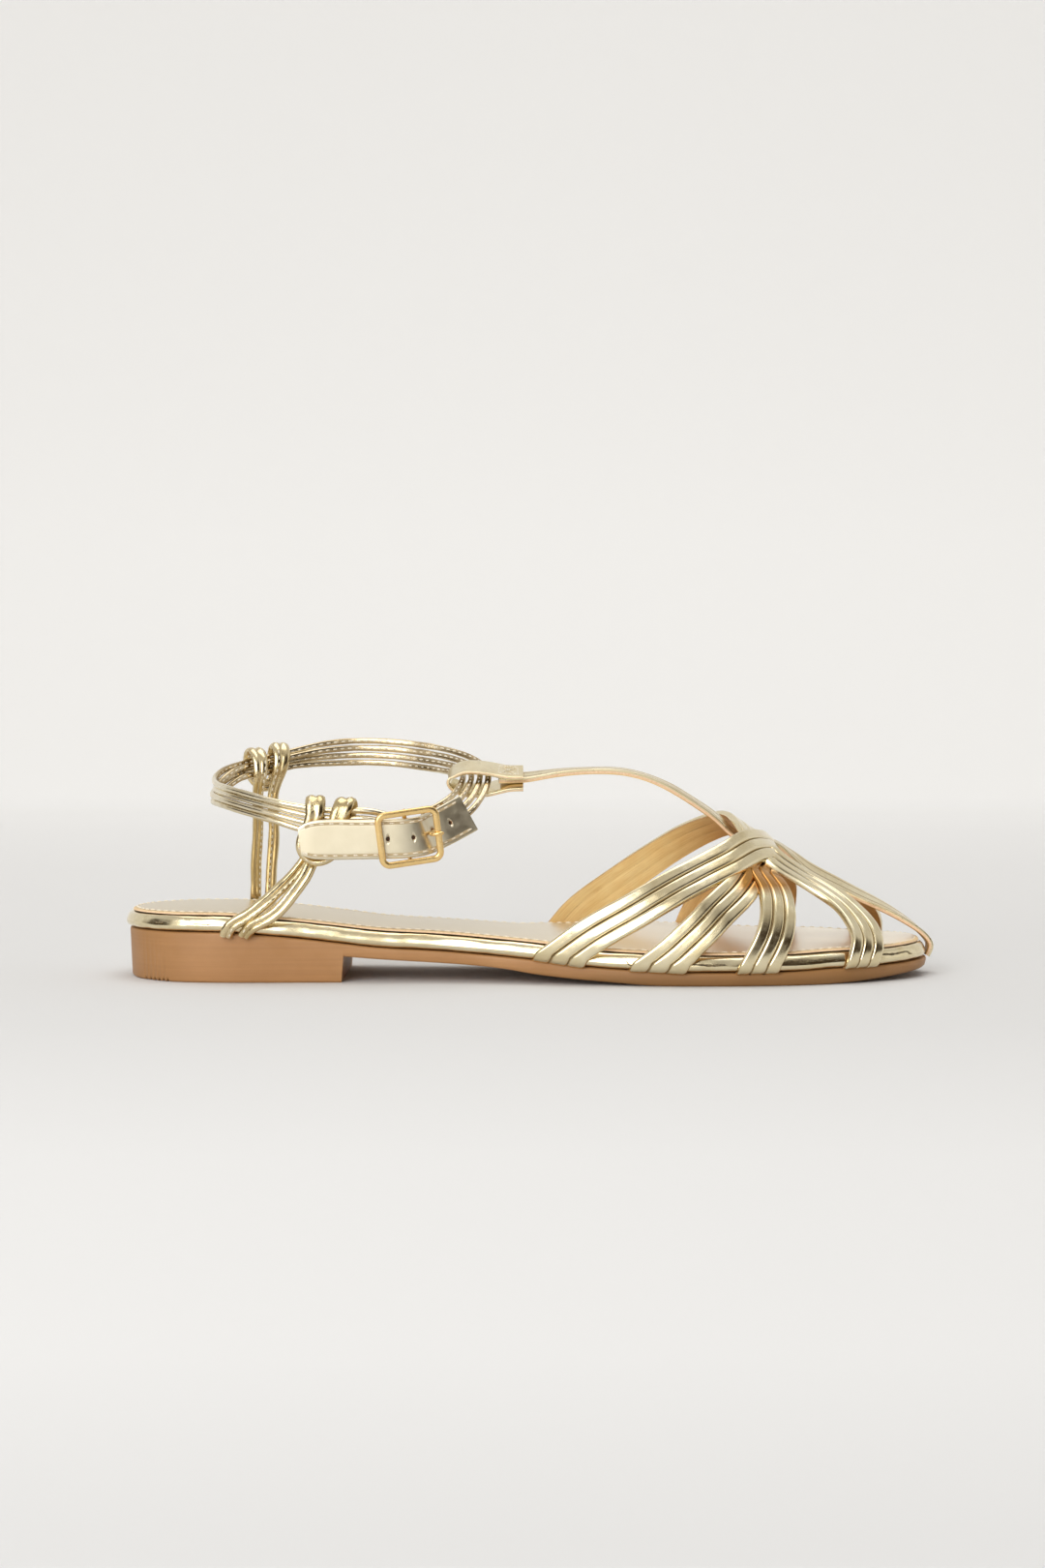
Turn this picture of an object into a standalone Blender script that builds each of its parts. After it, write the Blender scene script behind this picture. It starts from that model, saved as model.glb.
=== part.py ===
"""Flat huarache sandal, right foot, on a low rubber heel.

X runs from heel to toe, +Y is the inner (medial) side, -Y the outer (lateral)
side, +Z up. The sandal stands on z = 0 and the origin is under its middle.
Sizes are in millimetres and turned into metres where a mesh is made.
"""
import math

import bmesh
import bpy
import numpy as np

MM = 0.001
GAP = 0.3                    # clearance between neighbouring pieces

# ---------------------------------------------------------------- sole sizes
HEEL_END = -125.5            # rear of the wrapped footbed
TOE_END = 123.2              # front of the wrapped footbed
RIM_RADIUS = 2.3             # padded edge of the footbed, a half round
SOCK_THICKNESS = 0.9
SOCK_EDGE = 0.4              # its thickness at the edge
SOCK_INSET = 2.2
BREAST_X = -57.0             # front face of the heel block
BREAST_SLOPE = 0.6
HEEL_TAPER = 0.6             # how much the heel block draws in towards the floor
OUTSOLE_INSET = 1.1          # outsole wall behind the footbed edge
SOLE_STATIONS = 38

# Plan of the footbed: x, lateral edge, medial edge.
OUTLINE = [
    (HEEL_END, 0.0, 0.0),
    (-118.0, -19.5, 19.5),
    (-105.0, -28.0, 28.0),
    (-88.0, -30.0, 29.5),
    (-60.0, -29.0, 27.0),
    (-30.0, -28.5, 24.0),
    (0.0, -33.0, 27.0),
    (30.0, -38.5, 35.0),
    (52.0, -40.0, 39.5),
    (72.0, -38.5, 40.5),
    (92.0, -33.0, 37.0),
    (106.0, -26.0, 30.5),
    (116.0, -17.5, 22.5),
    (TOE_END - 2.2, -10.0, 15.0),
    (TOE_END, 3.0, 3.0),
]

# Side view of the footbed's underside: x, height.
FOOTBED_BOTTOM = [
    (-125.0, 15.6), (-95.0, 15.6), (-81.0, 14.7), (-72.0, 13.9), (-61.0, 12.7),
    (-44.0, 10.8), (-29.0, 10.0), (-14.0, 8.9), (1.0, 7.6), (16.0, 5.8),
    (30.0, 5.0), (50.0, 4.3), (75.0, 4.4), (92.0, 5.1), (110.0, 5.4), (125.0, 6.2),
]

# How much higher the medial edge of the sole stands than the lateral one: x, rise.
BANK = [
    (-125.0, 0.0), (-6.0, 0.0), (8.0, 1.4), (18.0, 2.5), (40.0, 3.2), (52.0, 2.8),
    (65.0, 2.0), (90.0, 0.9), (110.0, 0.2), (123.0, 0.0),
]

# Side view of the outsole's underside in front of the heel: x, height.
ARCH_BOTTOM = [
    (-57.0, 7.9), (-44.0, 6.9), (-29.0, 6.0), (-14.0, 5.0), (-6.0, 4.1), (0.0, 3.1),
    (10.0, 2.0), (25.0, 0.9), (40.0, 0.0), (86.0, 0.0), (97.0, 0.4), (107.0, 1.1),
    (116.0, 2.0), (124.0, 3.2),
]

# ---------------------------------------------------------------- vamp sizes
BAND_WIDTH = 11.2            # three rolled strips side by side
STRIPS_PER_BAND = 3
STRIP_HEIGHT = 1.9
GROOVE_HEIGHT = 1.1
BAND_SECTIONS = 23

# Top line of the last: x, height of the ridge, how far it lies to the medial side.
RIDGE = [
    (0.0, 64.0, 6.0), (20.0, 60.0, 6.0), (40.0, 54.5, 6.5), (55.0, 50.0, 7.0),
    (62.0, 47.0, 7.0), (72.0, 40.5, 6.0), (78.0, 36.2, 5.8), (84.0, 32.6, 5.5),
    (95.0, 27.3, 5.0), (107.0, 22.2, 4.0), (118.0, 15.0, 3.0),
]

# Middle lines of the bands over the last. Each row: x, degrees around the last
# (0 at the lateral edge of the footbed, 90 on the ridge, 180 at the medial edge),
# how far the band is lifted or pressed down where it crosses the others, and how
# far its rear edge stands higher than its middle.
BANDS = {
    "outer_rear": [
        (9.5, 0, 0, 0), (13.8, 4, 0, 0), (18.6, 8.1, 0, 0), (29.5, 16.4, 0, 0),
        (43.5, 28.8, 0, 0.1), (55.5, 40.8, 0.1, 0.5), (61, 48, 0.5, 1.0), (67, 60, 1.5, 1.3),
        (72, 72, 1.3, 1.3), (77.5, 88, 0.5, 1.4), (86.5, 99, 0, 0.6), (96, 108.5, 0, 0.1),
        (103.5, 121, 0, 0), (107, 140, 0, 0), (108.2, 160, 0, 0), (108.3, 180, 0, 0),
    ],
    "inner_rear": [
        (10.5, 180, 0.1, 0), (15.5, 173.8, 0.3, 0), (23.5, 166.5, 0.2, 0), (34, 156.3, 0, 0),
        (47, 139.5, 0, 0), (57, 121.8, 0.3, 0), (63, 105.5, 0.8, 0.2), (66.3, 90, 0.7, 0),
        (69.2, 77, 0.3, -0.6), (73, 67, 0.2, -1.2), (79, 61.5, 0.1, -1.4),
        (86.5, 59.5, 0.1, -1.2), (92, 55, 0, -0.6), (96, 47, 0, 0), (99.6, 33, 0, 0),
        (101.2, 16, 0, 0), (100.2, 0, 0, 0),
    ],
    "outer_middle": [
        (39.0, 0, 0, 0), (42.9, 4, 0, 0), (46.7, 8.5, 0, 0), (51.4, 14.5, 0, 0),
        (56.3, 22, 0, 0), (61.6, 31, -0.8, 0), (65.4, 41, -1.5, 0), (69, 56, -1.9, 0),
        (72.5, 76, -1.9, 0), (76, 98, -1.9, 0), (79.3, 120, -1.0, 0), (81, 140, 0, 0),
        (81, 160, 0, 0), (80.5, 180, 0, 0),
    ],
    "inner_middle": [
        (52.3, 180, 0, 0), (57.5, 165, 0, 0), (64.2, 152, 0, 0), (68.5, 136, -1.0, 0),
        (70.5, 115, -2.8, 0), (71, 92, -3.2, 0), (71.2, 68, -3.2, 0), (71.4, 49, -1.5, 0),
        (73.1, 40, -0.3, 0), (73.8, 29, 0, 0), (73.0, 17, 0, 0), (70.1, 5, 0, 0),
        (68.4, 0, 0, 0),
    ],
}
TUCK_ANGLES = (16, 34, 51, 66)      # a band's end follows the padded edge this far
FOOT_HEIGHT = 0.72
FOOT_REACH = 14
TUCKED_HEIGHT = 0.45                 # and is pressed to this part of its height
OBLIQUE_REACH = 16                  # degrees above the edge where a band's
                                    # sections begin to turn along the edge

# T-strap from the tab over the instep, under the crossing and on to the toe.
# Each row: x, y, z of its middle, and its roll towards the lateral side.
T_WIDTH = 6.2
T_THICKNESS = 1.7
T_SECTIONS = 29
T_STRAP = [
    (-9.8, 0.6, 61.1, 18), (-2, 1.0, 61.2, 17), (7, 1.5, 62.4, 10), (17, 2, 63.2, 6),
    (29, 2.5, 62.3, 7), (41, 3, 58.2, 12), (52, 3.2, 51.3, 18), (62, 3.8, 43.6, 18),
    (67, 4, 41.6, 14), (72, 4.5, 41.0, 8), (76, 4.9, 40.6, 6), (80, 5, 38.2, 12),
    (83, 5, 35.8, 24), (86, 5, 33.3, 31), (89, 4.9, 31.4, 31), (95, 4.6, 28.3, 30),
    (101, 4.4, 25.2, 28), (113, 3.6, 19.2, 16), (119.5, 3.2, 15.0, 6), (123.2, 3.0, 11.9, 0),
    (125.0, 3.0, 8.9, 0), (123.9, 3.0, 5.6, 0),
]

# -------------------------------------------------------------- ankle sizes
CORD_DIAMETER = 1.95
CORD_COUNT = 4
CORD_SIDES = 6
CORD_SECTIONS = 40

# Middle line of the bundle of ankle cords, from its front end behind the buckle
# around the ankle to its rear end behind the buckle strap. Each row: x, y, z,
# roll of the row of cords (0 upright, 90 lying flat), their pitch, and how far
# they stand in and out by turns.
ANKLE_LOOP = [
    (-32.0, -21.5, 47.8, 172, 2.35, 0), (-26.5, -18.2, 50.0, 160, 2.35, 0),
    (-20.2, -12.6, 54.6, 130, 2.5, 0), (-17.3, -5.0, 59.5, 98, 2.6, 0),
    (-17.8, 5.5, 63.0, 75, 2.6, 0), (-24.0, 16.0, 65.4, 42, 2.45, 0),
    (-34.0, 24.0, 67.2, 14, 2.35, 0), (-50.0, 29.3, 68.6, 0, 2.35, 0),
    (-66.0, 28.1, 68.0, 0, 2.1, 0.45), (-77.0, 24.2, 66.2, 4, 1.5, 1.0),
    (-86.0, 19.4, 64.0, 14, 1.55, 1.0), (-93.6, 11.0, 62.0, 20, 1.5, 0.9),
    (-98.3, 1.5, 57.6, -8, 1.95, 0.35), (-96.0, -8.0, 56.1, -10, 1.9, 0.3),
    (-87.5, -18.0, 54.1, -6, 1.9, 0.3), (-76.0, -25.4, 51.4, 0, 2.0, 0.25),
    (-66.0, -27.8, 49.2, 0, 2.3, 0), (-58.0, -28.4, 48.5, 0, 2.35, 0),
    (-48.0, -28.4, 48.2, 0, 2.35, 0),
]

# Risers: a doubled strip from the sole edge, up inside the ankle cords, over
# them, down outside, across its own two legs, and back the same way.
# Each row: x, y, z, where the strip faces (0 outwards, 90 up, 180 inwards), width.
RISER_THICKNESS = 1.9
RISER_SECTIONS = 48
RISERS = {
    "riser_lateral": {
        "outwards": (0.0, -1.0, 0.0),
        "route": [
            (-91.6, -30.1, 14.3, -50, 3.9), (-90.2, -31.4, 17.2, 0, 3.9),
            (-86.2, -31.4, 19.8, 0, 3.9), (-81.8, -30.7, 22.9, 0, 3.9),
            (-75.3, -28.4, 28.6, 0, 3.9), (-69.8, -26.2, 34.3, 0, 3.9),
            (-67.0, -25.2, 38.6, 0, 4.0), (-65.6, -24.8, 44.0, 0, 4.4),
            (-64.9, -24.9, 50.0, 0, 5.0), (-64.6, -25.6, 54.0, -45, 5.5),
            (-64.6, -28.0, 55.9, -90, 5.8), (-64.7, -30.4, 54.2, -135, 5.8),
            (-65.0, -31.2, 50.0, -180, 5.4), (-67.0, -31.2, 45.5, -180, 4.6),
            (-68.4, -31.3, 42.0, -180, 4.0), (-67.2, -31.4, 38.9, -180, 4.0),
            (-63.6, -31.4, 37.5, -180, 4.0), (-59.8, -31.4, 39.6, -180, 4.4),
            (-58.3, -31.4, 44.0, -180, 5.0), (-57.6, -31.4, 49.6, -180, 5.8),
            (-57.2, -30.6, 53.6, -135, 6.0), (-57.1, -28.4, 55.3, -90, 6.0),
            (-57.2, -26.2, 53.4, -45, 5.6), (-57.9, -25.3, 49.4, 0, 5.0),
            (-59.2, -25.3, 45.4, 0, 4.4), (-61.8, -26.1, 41.2, 0, 3.9),
            (-65.6, -28.0, 36.7, 0, 3.9), (-67.3, -28.9, 33.2, 0, 3.9),
            (-70.6, -30.1, 28.2, 0, 3.9), (-74.4, -31.1, 23.4, 0, 3.9),
            (-79.5, -31.4, 19.4, 0, 3.9), (-84.0, -31.4, 16.9, 0, 3.9),
            (-86.2, -30.1, 14.2, -50, 3.9),
        ],
    },
    "riser_medial": {
        "outwards": (-0.47, 0.88, 0.0),
        "route": [
            (-88.4, 29.7, 13.9, -50, 3.8), (-88.8, 31.2, 17.6, 0, 3.8),
            (-88.7, 31.0, 22.0, 0, 3.8), (-88.2, 27.6, 33.0, 0, 3.8),
            (-87.0, 22.2, 46.0, 0, 3.7), (-86.4, 16.5, 56.0, 0, 3.8),
            (-85.4, 14.2, 61.6, 0, 4.4), (-85.6, 15.2, 66.4, -25, 5.2),
            (-87.6, 19.0, 69.4, -90, 5.6), (-89.2, 22.5, 67.0, -155, 5.4),
            (-89.2, 22.7, 62.5, -180, 4.6), (-87.6, 22.8, 59.4, -180, 4.0),
            (-85.0, 24.4, 57.9, -180, 4.0), (-82.5, 26.2, 59.5, -180, 4.0),
            (-82.0, 26.5, 63.0, -180, 4.8), (-81.9, 26.4, 67.6, -155, 5.6),
            (-80.2, 22.8, 70.9, -90, 5.8), (-79.0, 19.6, 67.5, -25, 5.6),
            (-79.8, 18.9, 62.5, 0, 4.6), (-81.8, 20.0, 56.0, 0, 3.8),
            (-82.2, 24.8, 46.0, 0, 3.8), (-83.2, 28.6, 33.0, 0, 3.8),
            (-83.9, 31.0, 22.0, 0, 3.8), (-84.0, 31.1, 17.6, 0, 3.8),
            (-84.2, 29.6, 13.9, -50, 3.8),
        ],
    },
}

# Tab of the T-strap, folded round the front of the ankle cords: x, z of its
# middle line, then its width, thickness and roll.
TAB_WIDTH = 11.0
TAB_THICKNESS = 1.1
TAB_ROLL = 18
TAB_FOLD = [
    (-2.2, 62.7), (-7, 62.8), (-12, 63.7), (-17.5, 64.3), (-22.8, 63.4), (-25.0, 60.9),
    (-22.8, 58.3), (-17.5, 57.2), (-12, 57.7), (-7, 58.9), (-2.2, 59.2),
]

# ------------------------------------------------------------- buckle sizes
BILLET_THICKNESS = 1.7
HOLE_DIAMETER = 1.3
HOLE_PITCH = 7.5
HOLE_COUNT = 4
PRONG_HOLE = 2               # the hole the prong passes through
FIRST_HOLE_X = -42.6
# Buckle strap, root to tip: x, y, z of its middle, and its height.
BILLET = [
    (-69.0, -33.6, 43.0, 8.6), (-66.5, -33.7, 43.3, 10.8), (-63.0, -33.7, 43.5, 11.9),
    (-52.0, -33.5, 43.6, 11.9), (-42.0, -33.0, 43.8, 11.9), (-36.4, -32.3, 44.1, 11.9),
    (-32.6, -30.7, 44.7, 11.9), (-30.0, -27.2, 45.6, 11.9), (-26.4, -23.8, 47.2, 11.9),
    (-19.0, -20.0, 51.0, 11.9),
]
FRAME_WIDTH = 19.6
FRAME_HEIGHT = 17.1
FRAME_WIRE = 2.0
FRAME_CORNER = 3.2
FRAME_CENTRE = (-36.2, -34.3, 44.3)
FRAME_YAW = 10               # its front bar is turned towards the ankle
FRAME_ROLL = -8              # and raised
FRAME_LEAN = 4               # and its top stands out
CENTRE_BAR_RADIUS = 0.7
CENTRE_BAR_DEPTH = 6.0       # how far the bar stands behind the frame
PRONG_WIRE = 1.1
BUCKLE_TAB_WIDTH = 8.5
BUCKLE_TAB_THICKNESS = 0.9
BUCKLE_TAB_LENGTH = 7.0


# ------------------------------------------------------------------- helpers
def column(table, index):
    return np.array([row[index] for row in table], dtype=float)


def profile(table, x, value=1, key=0):
    """Smooth height table read at x, never past its own points (monotone cubic)."""
    xs = column(table, key)
    ys = column(table, value)
    step = np.diff(xs)
    slope = np.diff(ys) / step
    tangent = np.zeros(len(xs))
    tangent[0], tangent[-1] = slope[0], slope[-1]
    for i in range(1, len(xs) - 1):
        if slope[i - 1] * slope[i] > 0:
            before = 2 * step[i] + step[i - 1]
            after = step[i] + 2 * step[i - 1]
            tangent[i] = (before + after) / (before / slope[i - 1] + after / slope[i])
    x = min(max(x, xs[0]), xs[-1])
    i = min(max(int(np.searchsorted(xs, x)) - 1, 0), len(xs) - 2)
    t = (x - xs[i]) / step[i]
    return ((2 * t ** 3 - 3 * t ** 2 + 1) * ys[i]
            + (t ** 3 - 2 * t ** 2 + t) * step[i] * tangent[i]
            + (3 * t ** 2 - 2 * t ** 3) * ys[i + 1]
            + (t ** 3 - t ** 2) * step[i] * tangent[i + 1])


def spline(rows, count, measure=None):
    """Natural cubic through the rows, read at `count` evenly spaced places."""
    rows = np.array(rows, dtype=float)
    track = rows[:, :3] if measure is None else np.array(measure)
    knots = np.concatenate([[0.0], np.cumsum(np.linalg.norm(np.diff(track, axis=0), axis=1))])
    step = np.diff(knots)
    n = len(rows)
    matrix = np.zeros((n, n))
    right = np.zeros((n, rows.shape[1]))
    matrix[0, 0] = matrix[-1, -1] = 1.0
    for i in range(1, n - 1):
        matrix[i, i - 1] = step[i - 1]
        matrix[i, i] = 2 * (step[i - 1] + step[i])
        matrix[i, i + 1] = step[i]
        right[i] = 6 * ((rows[i + 1] - rows[i]) / step[i] - (rows[i] - rows[i - 1]) / step[i - 1])
    bend = np.linalg.solve(matrix, right)
    out = []
    for s in np.linspace(0.0, knots[-1], count):
        i = min(max(int(np.searchsorted(knots, s)) - 1, 0), n - 2)
        a, b = knots[i + 1] - s, s - knots[i]
        h = step[i]
        out.append((bend[i] * a ** 3 + bend[i + 1] * b ** 3) / (6 * h)
                   + (rows[i] / h - bend[i] * h / 6) * a
                   + (rows[i + 1] / h - bend[i + 1] * h / 6) * b)
    return np.array(out)


def unit(vectors):
    return vectors / np.linalg.norm(vectors, axis=-1, keepdims=True)


def material(name, colour, roughness, metallic):
    made = bpy.data.materials.new(name)
    made.use_nodes = True
    shader = made.node_tree.nodes["Principled BSDF"]
    shader.inputs["Base Color"].default_value = (*colour, 1.0)
    shader.inputs["Roughness"].default_value = roughness
    shader.inputs["Metallic"].default_value = metallic
    made.diffuse_color = (*colour, 1.0)
    return made


def mesh_object(name, points, faces, finish):
    """A closed mesh with its faces turned outwards; points in millimetres."""
    mesh = bpy.data.meshes.new(name)
    mesh.from_pydata([tuple(float(v) * MM for v in p) for p in points], [], faces)
    work = bmesh.new()
    work.from_mesh(mesh)
    bmesh.ops.recalc_face_normals(work, faces=work.faces)
    work.to_mesh(mesh)
    work.free()
    mesh.shade_smooth()
    mesh.set_sharp_from_angle(angle=math.radians(40))
    mesh.materials.append(finish)
    made = bpy.data.objects.new(name, mesh)
    bpy.context.collection.objects.link(made)
    return made


def boolean(target, other, operation):
    """Cut or join `other` into `target`, and take the other shape away."""
    step = target.modifiers.new(operation.lower(), "BOOLEAN")
    step.operation = operation
    step.solver = "EXACT"
    step.use_self = True
    step.object = other
    depsgraph = bpy.context.evaluated_depsgraph_get()
    result = bpy.data.meshes.new_from_object(target.evaluated_get(depsgraph))
    target.modifiers.clear()
    target.data = result
    bpy.data.objects.remove(other)


# ---------------------------------------------------------------------- sole
SPAN_MIDDLE = (HEEL_END + TOE_END) / 2
SPAN_HALF = (TOE_END - HEEL_END) / 2


def turn_of(x):
    """Angle 0 at the heel end and pi at the toe end, so that both ends are round."""
    return math.acos(min(max((SPAN_MIDDLE - x) / SPAN_HALF, -1.0), 1.0))


OUTLINE_BY_TURN = [(turn_of(x), lateral, medial) for x, lateral, medial in OUTLINE]


def edge(x, side):
    """Y of the footbed's edge at x: side 1 lateral, 2 medial."""
    return profile(OUTLINE_BY_TURN, turn_of(x), value=side)


def footbed_bottom(x):
    return profile(FOOTBED_BOTTOM, x)


def outsole_bottom(x):
    return 0.0 if x <= BREAST_X else profile(ARCH_BOTTOM, x)


def rise_at(x, y):
    """How far the bank of the sole raises a place."""
    lateral, medial = edge(x, 1), edge(x, 2)
    if medial - lateral < 1.0:
        return 0.0
    return profile(BANK, x) * min(max((y - lateral) / (medial - lateral), 0.0), 1.0)


def outline_loop(xs):
    """Closed plan outline: heel point, lateral side, toe point, medial side back."""
    lateral = [(x, edge(x, 1)) for x in xs[1:-1]]
    medial = [(x, edge(x, 2)) for x in xs[1:-1]]
    return np.array([(xs[0], OUTLINE[0][1])] + lateral + [(xs[-1], OUTLINE[-1][1])] + medial[::-1])


def inset_loop(loop, distance):
    ahead = np.roll(loop, -1, axis=0)
    behind = np.roll(loop, 1, axis=0)
    along = unit(ahead - behind)
    inwards = np.stack([-along[:, 1], along[:, 0]], axis=1)
    if np.mean(np.sum(inwards * (loop - loop.mean(axis=0)), axis=1)) > 0:
        inwards = -inwards
    distance = np.broadcast_to(np.asarray(distance, dtype=float), (len(loop),))
    return loop + inwards * distance[:, None]


def ladder_slab(name, xs, rings, finish, level=0):
    """Plate made of rings of one outline, closed above and below by rungs
    from its lateral to its medial side. Each ring: (inset, height of x). The last
    `level` rings lie level, the others are raised by the bank of the sole."""
    loop = outline_loop(xs)
    n = len(loop)
    last = len(xs) - 1
    points, faces = [], []
    for index, (inset, height) in enumerate(rings):
        distance = [inset(x) for x in loop[:, 0]] if callable(inset) else inset
        moved = inset_loop(loop, distance)
        banked = 1.0 if index < len(rings) - level else 0.0
        points += [(x, y, height(x0) + banked * rise_at(x0, y))
                   for (x, y), x0 in zip(moved, loop[:, 0])]
    for r in range(len(rings) - 1):
        for i in range(n):
            j = (i + 1) % n
            faces.append((r * n + i, r * n + j, (r + 1) * n + j, (r + 1) * n + i))
    for r in (0, len(rings) - 1):
        base = r * n
        faces.append((base, base + 1, base + n - 1))
        for i in range(1, last - 1):
            faces.append((base + i, base + i + 1, base + n - i - 1, base + n - i))
        faces.append((base + last - 1, base + last, base + last + 1))
    return mesh_object(name, points, faces, finish)


def sole_stations(extra=()):
    turns = np.linspace(0.0, math.pi, SOLE_STATIONS)
    xs = [SPAN_MIDDLE - SPAN_HALF * math.cos(t) for t in turns]
    kept = [x for x in xs if all(abs(x - e) > 1.5 for e in extra)]
    return sorted(kept + list(extra))


def build_footbed(finish):
    rings = []
    for angle in (-90, -50, -16, 16, 50, 90):
        a = math.radians(angle)
        rings.append((RIM_RADIUS * (1 - math.cos(a)),
                      lambda x, up=RIM_RADIUS * (1 + math.sin(a)): footbed_bottom(x) + up))
    return ladder_slab("footbed", sole_stations(), rings, finish)


def build_sock(finish):
    def height(up):
        return lambda x: footbed_bottom(x) + 2 * RIM_RADIUS + GAP + up
    rings = [(SOCK_INSET, height(0)), (SOCK_INSET, height(SOCK_EDGE)),
             (SOCK_INSET + 2.2, height(SOCK_THICKNESS))]
    return ladder_slab("sock", sole_stations(), rings, finish)


def build_outsole(finish):
    def top(down):
        return lambda x: footbed_bottom(x) - GAP - down

    def bottom(up):
        return lambda x: outsole_bottom(x) + up

    def lower_inset(more):
        return lambda x: OUTSOLE_INSET + more + (HEEL_TAPER if x <= BREAST_X else 0.2)

    rings = [(OUTSOLE_INSET + 2.4, top(0)), (OUTSOLE_INSET + 0.9, top(0.4)),
             (OUTSOLE_INSET, top(1.3)), (lower_inset(0), bottom(0.7)),
             (lower_inset(0.6), bottom(0))]
    stations = sole_stations(extra=(BREAST_X, BREAST_X + BREAST_SLOPE, 40.0, 86.0))
    return ladder_slab("outsole", stations, rings, finish, level=2)


# ---------------------------------------------------------------------- vamp
def edge_normal(x, side):
    """Outward direction of the footbed's outline in plan."""
    slope = (edge(x + 0.5, side) - edge(x - 0.5, side)) / 1.0
    normal = np.array([-slope, 1.0]) if side == 2 else np.array([slope, -1.0])
    return normal / np.linalg.norm(normal)


def last_point(x, around):
    """Point on the inner face of the upper: round over the last, then down round
    the padded edge of the footbed."""
    middle = footbed_bottom(x) + RIM_RADIUS
    bank = profile(BANK, x) if around > 90 else 0.0
    side = 1 if around <= 90 else 2
    normal = edge_normal(x, side)
    at_edge = edge(x, side) + GAP / normal[1]
    if around < 0 or around > 180:
        wrap = RIM_RADIUS + GAP
        a = math.radians(-around if around < 0 else around - 180)
        inwards = -wrap * (1 - math.cos(a))
        down = wrap * math.sin(a)
        return (x + normal[0] * inwards, at_edge + normal[1] * inwards, middle + bank - down)
    a = math.radians(around)
    centre = profile(RIDGE, x, value=2)
    height = profile(RIDGE, x) - middle
    return (x, centre + (at_edge - centre) * abs(math.cos(a)),
            middle + bank * math.cos(a) ** 2 + height * math.sin(a))


def last_frame(x, around):
    """Point, outward normal and direction along the last at x and an angle around."""
    point = np.array(last_point(x, around))
    along = unit(np.array(last_point(x + 0.5, around)) - np.array(last_point(x - 0.5, around)))
    across = np.array(last_point(x, around + 1)) - np.array(last_point(x, around - 1))
    normal = unit(np.cross(along, across))
    inside = np.array([x, profile(RIDGE, x, value=2) * 0.5, footbed_bottom(x) + RIM_RADIUS])
    return point, normal if np.dot(normal, point - inside) > 0 else -normal, along


def sweep(points, normals, sections, across=None):
    """Closed tube: each section is a list of (across, out) pairs round its edge."""
    points = np.array(points)
    along = unit(np.gradient(points, axis=0))
    normals = np.array(normals)
    normals = unit(normals - along * np.sum(normals * along, axis=1)[:, None])
    if across is None:
        across = np.cross(normals, along)
    verts, faces = [], []
    n = len(sections[0])
    for p, out, side, section in zip(points, normals, across, sections):
        verts += [p + side * u + out * h for u, h in section]
    for i in range(len(points) - 1):
        for k in range(n):
            m = (k + 1) % n
            faces.append((i * n + k, i * n + m, (i + 1) * n + m, (i + 1) * n + k))
    faces.append(tuple(range(n)))
    faces.append(tuple(range((len(points) - 1) * n, len(points) * n)))
    return verts, faces


def band_section(press):
    """Flat inner face, rounded strips outside, pressed flatter where it is tucked."""
    pitch = BAND_WIDTH / STRIPS_PER_BAND
    half = BAND_WIDTH / 2
    crest, groove, foot = STRIP_HEIGHT * press, GROOVE_HEIGHT * press, 0.6 * press
    top = []
    for s in range(STRIPS_PER_BAND):
        left = -half + s * pitch
        top += [(left + 0.24 * pitch, crest), (left + 0.76 * pitch, crest)]
        if s < STRIPS_PER_BAND - 1:
            top.append((left + pitch, groove))
    return [(-half + 0.2, 0.0), (-half, foot)] + top + [(half, foot), (half - 0.2, 0.0)]


def band_rows(rows):
    """Places along a band: its tucked start, the way over the last, its tucked end."""
    track = [last_point(row[0], row[1]) for row in rows]
    over = spline(rows, BAND_SECTIONS, measure=track)
    places = []
    for x, around, lift, rear in over:
        foot = max(1 - min(around, 180 - around) / FOOT_REACH, 0.0)
        places.append((x, around, lift, rear, 1 - (1 - FOOT_HEIGHT) * foot))
    for first, inner in ((0, 1), (-1, -2)):
        x, around = over[first][:2]
        lean = (over[inner][0] - x) / np.linalg.norm(
            np.array(last_point(*over[inner][:2])) - np.array(last_point(x, around)))
        outer = []
        for angle in TUCK_ANGLES:
            part = angle / TUCK_ANGLES[-1]
            shift = -0.7 * lean * (RIM_RADIUS + GAP) * math.radians(angle)
            past = -angle if around < 90 else 180 + angle
            press = FOOT_HEIGHT - (FOOT_HEIGHT - TUCKED_HEIGHT) * part
            outer.append((x + shift, past, 0.0, 0.0, press))
        places = outer[::-1] + places if first == 0 else places + outer
    return places


def band_frames(rows):
    """Middle points, normals and skewed widths of a band's sections."""
    places = band_rows(rows)
    frames = [last_frame(place[0], place[1]) for place in places]
    points = np.array([f[0] + f[1] * place[2] for f, place in zip(frames, places)])
    normals = np.array([f[1] for f in frames])
    tucks = len(TUCK_ANGLES)
    over = unit(np.gradient(points[tucks:-tucks], axis=0))
    along = np.concatenate([[over[0]] * tucks, over, [over[-1]] * tucks])
    square = np.cross(normals, along)
    square[:tucks] = square[tucks]
    square[-tucks:] = square[-tucks - 1]
    square = unit(square)
    rim = np.array([f[2] for f in frames])
    rim = unit(rim - normals * np.sum(rim * normals, axis=1)[:, None])
    across = []
    for place, straight, edgewise, normal in zip(places, square, rim, normals):
        height = min(place[1], 180 - place[1])
        part = min(max(1 - height / OBLIQUE_REACH, 0.0), 1.0)
        part = part * part * (3 - 2 * part)
        if np.dot(straight, edgewise) < 0:
            edgewise = -edgewise
        mixed = unit(straight * (1 - part) + edgewise * part)
        rising = place[3] / (BAND_WIDTH / 2) * (1.0 if mixed[0] < 0 else -1.0)
        across.append(mixed / max(np.dot(mixed, straight), 0.62) + normal * rising)
    return points, normals, np.array(across), [place[4] for place in places]


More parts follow.
